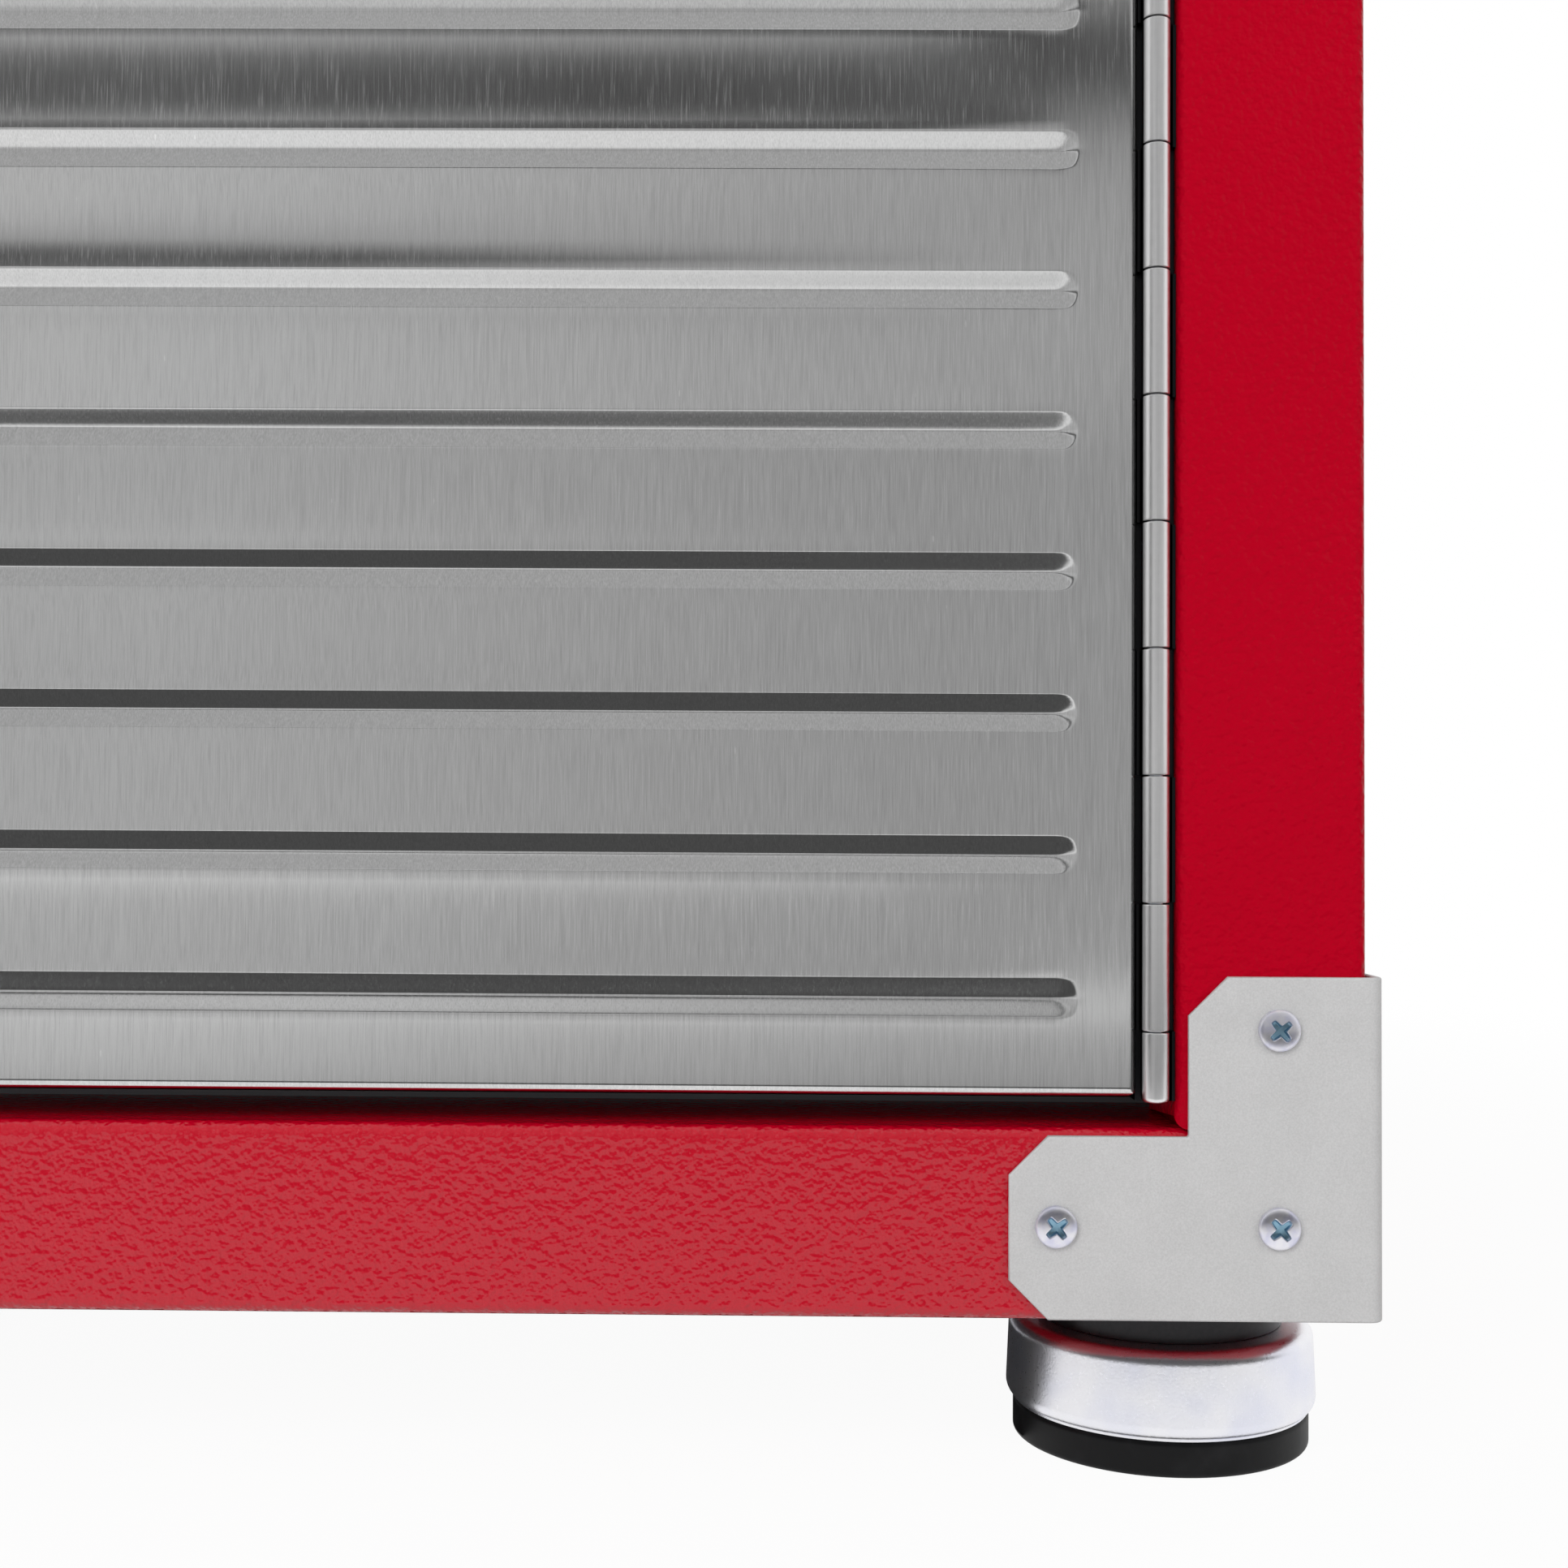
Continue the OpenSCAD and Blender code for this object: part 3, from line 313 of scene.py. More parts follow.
sideLow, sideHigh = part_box("right_side")
frontY, backY = sideLow.y, sideHigh.y
pinLow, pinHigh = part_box("right_hinge_pin")
axisX, axisY = (pinLow.x + pinHigh.x) / 2, (pinLow.y + pinHigh.y) / 2
metal = {"Metallic": 1.0}
brushedMetal = {**metal, "Anisotropic": brushed["along"]}
hingeMetal = {**metal, "Specular Tint": shade(hingeSteel["rim"])}


def gloss(level):
    return {"Specular IOR Level": level}


finishes = {
    # the sides and panels take the tone-darkened red, painted shade against the rail's full-red copy
    "red_powder_coat": newFinish("redPowderCoat", gloss(redCoat["gloss"]), redRecipe(redCoat["tone"])),
    "red_rail": newFinish("redRail", gloss(redCoat["railGloss"]), redRecipe(1.0)),
    "grey_powder_coat": newFinish("greyPowderCoat", gloss(greyCoat["gloss"]), greyRecipe),
    "brushed_stainless": newFinish("brushedStainless", brushedMetal, brushedRecipe),
    "hinge_steel": newFinish("hingeSteel", hingeMetal, hingeRecipe),
    "silver_paint": newFinish("silverPaint", gloss(silverPaint["gloss"]), silverRecipe),
    "zinc_screw": newFinish("zincScrew", metal, zincRecipe(zincKinds["screw"])),
    "zinc_plate": newFinish("zincPlate", metal, zincRecipe(zincKinds["plate"])),
    "zinc_cup": newFinish("zincCup", metal, zincRecipe(zincKinds["cup"])),
    "black_steel": newFinish("blackSteelAndShade", {"Metallic": blackSteelAndShade["metal"]}, blackAndShadeRecipe),
    "black_rubber": newFinish("blackRubber", gloss(rubber["gloss"]), rubberRecipe),
}
slotOfNode = {part["node"]: part["material_slot"] for part in frame["record"]["subparts"]}
for nodeName, nodeObject in frame["nodes"].items():
    nodeObject.data.materials.clear()
    nodeObject.data.materials.append(finishes[slotOfNode[nodeName]])
print("finishes made:", len(finishes))


# Surfaces

# Quads between the rows and columns of a grid of points; a wrapped direction joins its last line to its first
def gridFaces(rows, cols, wrapRows=False, wrapCols=False):
    i, j = np.meshgrid(np.arange(rows - (not wrapRows)), np.arange(cols - (not wrapCols)), indexing="ij")
    below, beside = (i + 1) % rows, (j + 1) % cols
    quads = [i * cols + j, i * cols + beside, below * cols + beside, below * cols + j]
    return np.stack(quads, -1).reshape(-1, 4)


# The same patch at many places: points of shape (copies, points, 3) share one set of faces
def copies(points, faces):
    count, size = points.shape[:2]
    shift = size * np.arange(count)[:, None, None]
    return points.reshape(-1, 3), [(block[None] + shift).reshape(-1, block.shape[1]) for block in faces]


def mirrored(patch):
    return patch[0] * [-1, 1, 1], patch[1]


def moved(patch, offset):
    return patch[0] + np.asarray(offset), patch[1]


weld, sliver = 0.002 * mm, 0.001 * mm


# One mesh object from patches of points and faces, welded at its seams and smooth up to a crease angle
def addPiece(name, patches, body, slot, nodes, crease=32, closed=True, finish=None):
    points, faces, start = [], [], 0
    for patchPoints, patchFaces in patches:
        points.append(patchPoints)
        for block in patchFaces:
            faces += (block + start).tolist()
        start += len(patchPoints)
    mesh = bpy.data.meshes.new(name)
    mesh.from_pydata(np.concatenate(points).tolist(), [], faces)
    work = bmesh.new()
    work.from_mesh(mesh)
    bmesh.ops.remove_doubles(work, verts=work.verts, dist=weld)
    bmesh.ops.dissolve_degenerate(work, edges=work.edges, dist=sliver)
    if closed:
        bmesh.ops.recalc_face_normals(work, faces=work.faces)
    work.to_mesh(mesh)
    work.free()
    mesh.polygons.foreach_set("use_smooth", np.ones(len(mesh.polygons), bool))
    mesh.set_sharp_from_angle(angle=crease * deg)
    mesh.materials.append(finishes[finish or slot])
    piece = bpy.data.objects.new(name, mesh)
    bpy.context.scene.collection.objects.link(piece)
    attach(piece, body)
    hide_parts(*nodes)
    return piece


# A piece on the right and its mirror image on the left; without a body, each rides its own door
def addPair(title, node, patches, slot, body=None, crease=32):
    for side, shape in [("right", patches), ("left", [mirrored(patch) for patch in patches])]:
        addPiece(side + title, shape, body or f"{side}_door", slot, [f"{side}_{node}"], crease)


# A line through corner points, each corner an arc of its own radius, with a point close to both ends of an
# arc so that shading stays flat on the straights
def roundedLine(corners, radii, steps=7, hold=0.25 * mm):
    corners = np.array(corners, float)
    line = [corners[:1]]
    for before, corner, after, radius in zip(corners, corners[1:], corners[2:], radii):
        towards = (before - corner) / np.linalg.norm(before - corner)
        away = (after - corner) / np.linalg.norm(after - corner)
        half = np.arccos(np.clip(towards @ away, -1, 1)) / 2
        reach = radius / np.tan(half)
        centre = corner + (towards + away) / np.linalg.norm(towards + away) * radius / np.sin(half)
        first, last = corner + towards * reach - centre, corner + away * reach - centre
        sweep = np.pi - 2 * half
        share = np.linspace(0, 1, steps)[:, None]
        arc = centre + (np.sin((1 - share) * sweep) * first + np.sin(share * sweep) * last) / np.sin(sweep)
        line += [arc[:1] + towards * hold, arc, arc[-1:] + away * hold]
    return np.concatenate(line + [corners[-1:]])


# Outline of a sheet bent along a path of its outer face: the inner face is that line moved left by the
# thickness
def sheetOutline(path, thickness, outerRadius):
    path = np.array(path, float)
    run = np.diff(path, axis=0)
    run /= np.linalg.norm(run, axis=1)[:, None]
    left = np.stack([-run[:, 1], run[:, 0]], 1)
    inner = path.copy()
    inner[:-1] += thickness * left
    inner[1:] += thickness * left
    inner[0], inner[-1] = path[0] + thickness * left[0], path[-1] + thickness * left[-1]
    bends = len(path) - 2
    outside = roundedLine(path, [outerRadius] * bends)
    inside = roundedLine(inner, [outerRadius - thickness] * bends)
    return np.concatenate([outside, inside[::-1]])


# A closed outline pushed along an axis; axes names where its two directions and its length lie
def prism(outline, low, high, axes):
    count = len(outline)
    points = np.zeros((2, count, 3))
    points[:, :, axes[0]] = outline[:, 0]
    points[:, :, axes[1]] = outline[:, 1]
    points[0, :, axes[2]], points[1, :, axes[2]] = low, high
    ends = np.arange(count)[None]
    return points.reshape(-1, 3), [gridFaces(2, count, wrapCols=True), ends, ends + count]


# A profile of (radius, height) points turned about the z axis
def turned(profile, segments=96):
    profile = np.asarray(profile)
    angle = np.linspace(0, 2 * np.pi, segments, endpoint=False)
    ring = np.stack([np.cos(angle), np.sin(angle)], -1)
    points = np.zeros((len(profile), segments, 3))
    points[:, :, :2] = profile[:, None, :1] * ring
    points[:, :, 2] = profile[:, 1:]
    return points.reshape(-1, 3), [gridFaces(len(profile), segments, wrapCols=True)]


# Turns a patch built along +z so that it points along another axis
def pointed(patch, towards):
    x, y, z = patch[0].T
    turn = {"-y": (x, -z, y), "+y": (x, z, -y), "-x": (-z, y, x), "+x": (z, y, -x)}
    return np.stack(turn[towards], -1), patch[1]


# Boxes between arrays of low and high corners
def boxes(low, high):
    low, high = np.atleast_2d(low), np.atleast_2d(high)
    pick = np.array([[0, 0, 0], [1, 0, 0], [1, 1, 0], [0, 1, 0], [0, 0, 1], [1, 0, 1], [1, 1, 1], [0, 1, 1]])
    points = np.where(pick[None] == 1, high[:, None], low[:, None])
    sides = np.array([[0, 3, 2, 1], [4, 5, 6, 7], [0, 1, 5, 4], [1, 2, 6, 5], [2, 3, 7, 6], [3, 0, 4, 7]])
    return copies(points, [sides])


# Height of a screw's head at a distance from its axis: a rim of a third, and half an ellipsoid on it
def domeHeight(size, away):
    rim = size["height"] / 3
    return rim + (size["height"] - rim) * np.sqrt(np.clip(1 - (2 * away / size["head"]) ** 2, 0, 1))


# Domed head of a cross-recess screw on z = 0 with its shank below: height over the plane is a dome less a
# cross whose arms are smooth steps across |u| and |v| that run out to nothing along their length
def screwPatch(size, segments=112, rings=44):
    headR, shankR = size["head"] / 2, size["shank"] / 2
    radius = headR * np.sin(np.linspace(0, np.pi / 2, rings))[:, None]
    angle = np.linspace(0, 2 * np.pi, segments, endpoint=False)[None]
    dome = domeHeight(size, radius) + 0 * angle
    u, v = radius * np.cos(angle - size["turn"] * deg), radius * np.sin(angle - size["turn"] * deg)
    across = np.minimum(np.abs(u), np.abs(v))
    along = np.maximum(np.abs(u), np.abs(v))
    reach = size["recess"] / 2
    root, taper = 1.25, 0.45
    width = size["slot"] / 2 * (root - taper * along / reach)
    wall = np.clip((width + size["edge"] / 2 - across) / size["edge"], 0, 1)
    wall = wall * wall * (3 - 2 * wall)
    fall = np.sqrt(np.clip(1 - (along / reach) ** 2, 0, 1))
    height = dome - size["depth"] * wall * fall
    head = np.stack([radius * np.cos(angle), radius * np.sin(angle), height], -1)
    stem = np.array([[headR, 0], [shankR, 0], [shankR, -size["length"]], [0, -size["length"]]])
    foot = np.stack([stem[:, :1] * np.cos(angle), stem[:, :1] * np.sin(angle), stem[:, 1:] + 0 * angle], -1)
    points = np.concatenate([head, foot])
    return points.reshape(-1, 3), [gridFaces(rings + len(stem), segments, wrapCols=True)]


# Carcass

sheet = dict(frame=1.5 * mm, panel=1.2 * mm, bend=1 * mm, seam=0.01 * mm)
post = dict(depth=32 * mm, lip=12 * mm, backLip=20 * mm, corner=2.4 * mm)
rail = dict(doorFlange=46 * mm, outerFlange=20 * mm, boltRadius=5 * mm, boltGap=0.6 * mm)
postX, outX = sideLow.x, sideHigh.x
frameBend = sheet["frame"] + sheet["bend"]
panelBend = sheet["panel"] + sheet["bend"]

# The post stands between the rails; the corner of its front is cut round at both ends, so an end rises by a
# quarter circle over the distance from the inner edge
folds = [(postX + post["lip"], frontY + post["depth"]), (postX, frontY + post["depth"]), (postX, frontY),
         (outX, frontY), (outX, backY), (outX - post["backLip"], backY)]
wallOnly = [(outX, frontY + frameBend), (outX, backY), (outX - post["backLip"], backY)]
postOutline = sheetOutline(folds, sheet["frame"], frameBend)
wallOutline = sheetOutline(wallOnly, sheet["frame"], frameBend)
postLow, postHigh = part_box("bottom_rail")[1].z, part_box("top_rail")[0].z
nearCorner = 1 - np.clip((postOutline[:, 0] - postX) / post["corner"], 0, 1)
onFront = postOutline[:, 1] < frontY + 2 * frameBend
rise = post["corner"] * (1 - np.sqrt(1 - nearCorner ** 2)) * onFront
sidePatches = [prism(wallOutline, sideLow.z, postLow - sheet["seam"], (0, 1, 2)),
               prism(postOutline, postLow + rise, postHigh - rise, (0, 1, 2)),
               prism(wallOutline, postHigh + sheet["seam"], sideHigh.z, (0, 1, 2))]
addPair("Side", "side", sidePatches, "red_powder_coat", "cabinet")


# A round hole straight through the flange at a height, where a bolt shoots into it
def drill(piece, boltNode, height, crease=32):
    low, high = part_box(boltNode)
    centre = (low.x + high.x) / 2, low.y + rail["boltRadius"], height
    bpy.ops.mesh.primitive_cylinder_add(vertices=48, radius=rail["boltRadius"] + rail["boltGap"],
                                        depth=6 * sheet["frame"], location=centre)
    cutter = bpy.context.object
    piece.modifiers.new("boltHole", "BOOLEAN").object = cutter
    mesh = bpy.data.meshes.new_from_object(piece.evaluated_get(bpy.context.evaluated_depsgraph_get()))
    piece.modifiers.clear()
    mesh.polygons.foreach_set("use_smooth", np.ones(len(mesh.polygons), bool))
    mesh.set_sharp_from_angle(angle=crease * deg)
    piece.data = mesh
    bpy.data.objects.remove(cutter)


for name, node, bolt, lowDepth, highDepth in [
        ("bottomRail", "bottom_rail", "lower_bolt", rail["outerFlange"], rail["doorFlange"]),
        ("topRail", "top_rail", "upper_bolt", rail["doorFlange"], rail["outerFlange"])]:
    low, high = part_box(node)
    path = [(frontY + highDepth, high.z), (frontY, high.z), (frontY, low.z), (frontY + lowDepth, low.z)]
    outline = sheetOutline(path, sheet["frame"], frameBend)
    piece = addPiece(name, [prism(outline, low.x, high.x, (1, 2, 0))], "cabinet", "red_powder_coat", [node],
                     finish="red_rail")
    drill(piece, bolt, high.z if highDepth > lowDepth else low.z)

deckLow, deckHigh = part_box("bottom_deck")
deckPath = [(deckHigh.x, deckLow.z), (deckHigh.x, deckHigh.z), (deckLow.x, deckHigh.z),
            (deckLow.x, deckLow.z)]
deckOutline = sheetOutline(deckPath, sheet["panel"], panelBend)
addPiece("bottomDeck", [prism(deckOutline, deckLow.y, deckHigh.y, (0, 2, 1))], "cabinet", "grey_powder_coat",
         ["bottom_deck"])

shelfReturn = 12 * mm
for number in range(1, 5):
    low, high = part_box(f"shelf_{number}")
    path = [(high.y - shelfReturn, low.z), (high.y, low.z), (high.y, high.z),
            (low.y, high.z), (low.y, low.z), (low.y + shelfReturn, low.z)]
    outline = sheetOutline(path, sheet["panel"], panelBend)
    addPiece(f"shelf{number}", [prism(outline, low.x, high.x, (1, 2, 0))], "cabinet", "grey_powder_coat",
             [f"shelf_{number}"])
print("carcass made")


# Corner brackets

bracket = dict(thickness=1.5 * mm, legWidth=38.8 * mm, legHeight=36.3 * mm, chamfer=7.8 * mm, bend=3 * mm,
               edge=0.45 * mm)
bracketLow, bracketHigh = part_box("lower_right_bracket")


# The flat pattern of the lower right bracket, wrapped round its bend: u runs along the front, round the bend
# and back along the side, and z runs between the lower and the upper edge at that u
def bracketPatches():
    width, flange = bracketHigh.x - bracketLow.x, bracketHigh.y - bracketLow.y
    bend, cut = bracket["bend"], bracket["chamfer"]
    flat, arc = width - bend, bend * np.pi / 2
    total = flat + arc + flange - bend
    legStart = width - bracket["legWidth"]
    hold = 0.3 * mm
    bendAt = flat + arc * np.linspace(0, 1, 9)
    lowU = np.r_[0, cut, legStart, legStart + cut, flat - hold, bendAt, flat + arc + hold, total - cut, total]
    highU = lowU[2:]
    full, leg = bracketHigh.z - bracketLow.z, bracket["legHeight"]
    floor = np.interp(lowU, [0, cut], [cut, 0])
    ledge = np.interp(lowU, [0, cut], [leg - cut, leg])
    crown = np.interp(highU, [legStart, legStart + cut, total - cut, total],
                      [full - cut, full, full, full - cut])

    def wrapped(u, lowZ, highZ, rows):
        share = np.linspace(0, 1, rows)[:, None]
        turn = np.clip((u - flat) / bend, 0, np.pi / 2)
        x = np.minimum(u, flat) + bend * np.sin(turn)
        y = bend * (1 - np.cos(turn)) + np.maximum(u - flat - arc, 0)
        z = lowZ + share * (highZ - lowZ)
        points = np.stack([bracketLow.x + x + 0 * z, bracketLow.y + y + 0 * z, bracketLow.z + z], -1)
        return points.reshape(-1, 3), [gridFaces(rows, len(u))]

    return [wrapped(lowU, floor, ledge, 4), wrapped(highU, ledge[2:], crown, 4)]


# Upside-down copy about the middle of the front
def upsideDown(patch):
    return patch[0] * [1, 1, -1] + [0, 0, sideLow.z + cadBox[1][2]], patch[1]


def flipped(patch):
    return patch[0], [block[:, ::-1] for block in patch[1]]


rightBracket = bracketPatches()
bracketKinds = {
    "lowerRight": rightBracket,
    "lowerLeft": [flipped(mirrored(patch)) for patch in rightBracket],
    "upperRight": [flipped(upsideDown(patch)) for patch in rightBracket],
    "upperLeft": [mirrored(upsideDown(patch)) for patch in rightBracket],
}
for name, patches in bracketKinds.items():
    node = name.replace("R", "_r").replace("L", "_l") + "_bracket"
    piece = addPiece(name + "Bracket", patches, "cabinet", "silver_paint", [node], closed=False)
    wall = piece.modifiers.new("wall", "SOLIDIFY")
    wall.thickness, wall.offset = bracket["thickness"], -1
    edge = piece.modifiers.new("edge", "BEVEL")
    edge.width, edge.segments, edge.limit_method, edge.angle_limit = bracket["edge"], 3, "ANGLE", 50 * deg
    edge.harden_normals = True

bracketScrew = dict(head=8.3 * mm, height=2.2 * mm, shank=4.5 * mm, length=11 * mm, recess=4.9 * mm,
                    slot=1.15 * mm, depth=1.3 * mm, edge=0.35 * mm, turn=40, side=21 * mm, low=18.5 * mm,
                    high=57.5 * mm, far=65 * mm, mark=0.6)
sideX, farX = bracketHigh.x - bracketScrew["side"], bracketHigh.x - bracketScrew["far"]
lowZ, highZ = bracketLow.z + bracketScrew["low"], bracketLow.z + bracketScrew["high"]
faceY = bracketLow.y
screwSpots = np.array([(sideX, faceY, lowZ), (sideX, faceY, highZ), (farX, faceY, lowZ)])
screw = pointed(screwPatch(bracketScrew), "-y")
lowerRight = copies(screw[0][None] + screwSpots[:, None], screw[1])
lower = [lowerRight, mirrored(lowerRight)]
allScrews = lower + [upsideDown(patch) for patch in lower]
screwPiece = addPiece("bracketScrews", allScrews, "cabinet", "zinc_screw", ["bracket_screws"], crease=50)


# Marks the recess of every screw in a piece for its painted shade, by how far a point lies below the dome at
# its distance from the axis
def markRecessShade(piece, size):
    mesh = piece.data
    points = np.empty(3 * len(mesh.vertices))
    mesh.vertices.foreach_get("co", points)
    points = points.reshape(-1, 3)
    spots = np.concatenate([screwSpots, screwSpots * [-1, 1, 1]])
    spots = np.concatenate([spots, spots * [1, 1, -1] + [0, 0, sideLow.z + cadBox[1][2]]])
    away = np.linalg.norm((points[:, None] - spots)[:, :, [0, 2]], axis=2).min(1)
    below = domeHeight(size, away) - (faceY - points[:, 1])
    sunk = np.clip(below / (size["mark"] * size["depth"]), 0, 1) * (2 * away < size["recess"])
    mesh.attributes.new("recess", "FLOAT", "POINT").data.foreach_set("value", sunk)


markRecessShade(screwPiece, bracketScrew)
print("brackets made")


# Hinges

hinge = dict(barrel=5.5 * mm, bore=3.1 * mm, first=14.2 * mm, pitch=25.4 * mm, gap=0.3 * mm, leaf=1.2 * mm,
             leafWidth=16 * mm, edge=0.22 * mm, endRound=0.9 * mm, hold=0.2 * mm, clear=0.4 * mm,
             inset=0.05 * mm, pin=3 * mm, pinEnd=0.4 * mm)
leafScrew = dict(head=5.2 * mm, height=1.4 * mm, shank=3 * mm, length=6 * mm, recess=3 * mm, slot=0.8 * mm,
                 depth=0.7 * mm, edge=0.3 * mm, turn=20, pitch=181 * mm, first=22 * mm, count=9)
hingeHeight = pinHigh.z - pinLow.z
knuckleCount = 1 + int((hingeHeight - hinge["first"]) // hinge["pitch"])
joints = np.r_[0, hinge["first"] + hinge["pitch"] * np.arange(knuckleCount - 1), hingeHeight] + pinLow.z


# Rings turned about the pin, one for every second knuckle: each is a closed section with rounded outer edges
def knucklePatch(first):
    outer, inner, hold = hinge["barrel"] / 2, hinge["bore"] / 2, hinge["hold"]
    angle = np.linspace(0, 2 * np.pi, 40, endpoint=False)
    numbers = np.arange(first, knuckleCount, 2)
    low = joints[numbers] + hinge["gap"] / 2
    high = joints[numbers + 1] - hinge["gap"] / 2
    lowEdge = np.where(numbers == 0, hinge["endRound"], hinge["edge"])
    highEdge = np.where(numbers == knuckleCount - 1, hinge["endRound"], hinge["edge"])
    arc = np.linspace(0, np.pi / 2, 6)
    ones = np.ones_like(low)[:, None]
    radius = np.concatenate([inner * ones, outer - lowEdge[:, None] * (1 - np.sin(arc)),
                             outer * ones, outer * ones,
                             outer - highEdge[:, None] * (1 - np.cos(arc)), inner * ones], 1)
    height = np.concatenate([low[:, None], low[:, None] + lowEdge[:, None] * (1 - np.cos(arc)),
                             (low + lowEdge + hold)[:, None], (high - highEdge - hold)[:, None],
                             high[:, None] - highEdge[:, None] * (1 - np.sin(arc)), high[:, None]], 1)
    x = axisX + radius[:, :, None] * np.cos(angle)
    y = axisY + radius[:, :, None] * np.sin(angle)
    points = np.stack([x, y, height[:, :, None] + 0 * x], -1)
    rows = radius.shape[1]
    return copies(points.reshape(len(numbers), -1, 3), [gridFaces(rows, len(angle), True, True)]), low, high


# A leaf: its knuckles, a plate on its seat, a web from the back of each knuckle to the plate's line, and a
# neck from the web to the plate
def leafPatches(node, first, seatX):
    low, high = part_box(node)
    knuckles, starts, ends = knucklePatch(first)
    leaf = hinge["leaf"]
    plateX = seatX - leaf if seatX > axisX else seatX
    rootY = axisY + hinge["barrel"] / 2 - leaf
    plateY = axisY + hinge["barrel"] / 2 + hinge["clear"]
    plate = boxes((plateX, plateY, low.z), (plateX + leaf, high.y, high.z))
    nearX, farX = min(axisX, plateX + leaf / 2), max(axisX, plateX + leaf / 2)
    inset = hinge["inset"]
    webs = boxes(np.stack([0 * starts + nearX, 0 * starts + rootY, starts + inset], 1),
                 np.stack([0 * starts + farX, 0 * starts + rootY + leaf - inset, ends - inset], 1))
    necks = boxes(np.stack([0 * starts + plateX, 0 * starts + rootY, starts + inset], 1),
                  np.stack([0 * starts + plateX + leaf, 0 * starts + plateY + inset, ends - inset], 1))
    return [knuckles, plate, webs, necks]


doorLow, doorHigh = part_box("right_door_skin")
addPair("FrameLeaf", "frame_leaf", leafPatches("right_frame_leaf", 0, postX), "hinge_steel", "cabinet")
addPair("DoorLeaf", "door_leaf", leafPatches("right_door_leaf", 1, doorHigh.x), "hinge_steel")

pinR = hinge["pin"] / 2
pinProfile = roundedLine([(0, 0), (pinR, 0), (pinR, hingeHeight), (0, hingeHeight)], [hinge["pinEnd"]] * 2, 5)
pin = moved(turned(pinProfile, 32), (axisX, axisY, pinLow.z))
addPair("HingePin", "hinge_pin", [pin], "zinc_plate", "cabinet")

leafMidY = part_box("right_door_leaf")[1].y - hinge["leafWidth"] / 2
frameScrewZ = pinLow.z + leafScrew["first"] + leafScrew["pitch"] * np.arange(leafScrew["count"])
doorScrewZ = frameScrewZ + leafScrew["pitch"] / 2


# Screws in a row up a leaf
def leafScrewPatch(x, facing, heights):
    one = pointed(screwPatch(leafScrew, 48, 16), facing)
    spots = np.stack([0 * heights + x, 0 * heights + leafMidY, heights], 1)
    return copies(one[0][None] + spots[:, None], one[1])


frameScrews = leafScrewPatch(postX - hinge["leaf"], "-x", frameScrewZ)
doorScrews = leafScrewPatch(doorHigh.x + hinge["leaf"], "+x", doorScrewZ)
addPiece("frameLeafScrews", [frameScrews, mirrored(frameScrews)], "cabinet", "zinc_screw",
         ["frame_leaf_screws"], crease=50)
addPair("LeafScrews", "leaf_screws", [doorScrews], "zinc_screw", crease=50)
print("hinges made:", knuckleCount, "knuckles each")


# Doors

door = dict(skin=1 * mm, edge=1.6 * mm, grooveHeight=7.5 * mm, grooveDepth=1.3 * mm, firstGroove=19.5 * mm,
            pitch=28.5 * mm, hingeMargin=12 * mm, handleBand=76 * mm, rim=0.035, root=0.22 * mm,
            dish=0.22 * mm, dishFade=45 * mm, dishStart=0.2, dishGrowth=1.0, dishRun=120 * mm, dishPeak=5,
            dishBeat=3, inset=3 * mm, hold=0.3 * mm, endStrip=6 * mm, cornerX=1.7 * mm, cornerZ=0.95 * mm)


# Across one direction of the tray: place along the face and depth behind it, from inside the rim at one end,
# round the edge, over the face and back in at the other end
def trayLine(low, high, depth, inner):
    edge, skin, hold = door["edge"], door["skin"], door["hold"]
    arc = np.linspace(0, np.pi / 2, 7)
    place = np.r_[low + skin, low + skin, low, low, low + edge * (1 - np.sin(arc[::-1])), low + edge + hold]
    back = np.r_[depth - door["inset"], depth, depth, edge + hold, edge * (1 - np.cos(arc[::-1])), 0]
    turnOver = (low + high - place)[::-1]
    clear = edge + hold + 0.1 * mm
    inside = inner[(inner > low + clear) & (inner < high - clear)]
    return np.r_[place, inside, turnOver], np.r_[back, 0 * inside, back[::-1]]


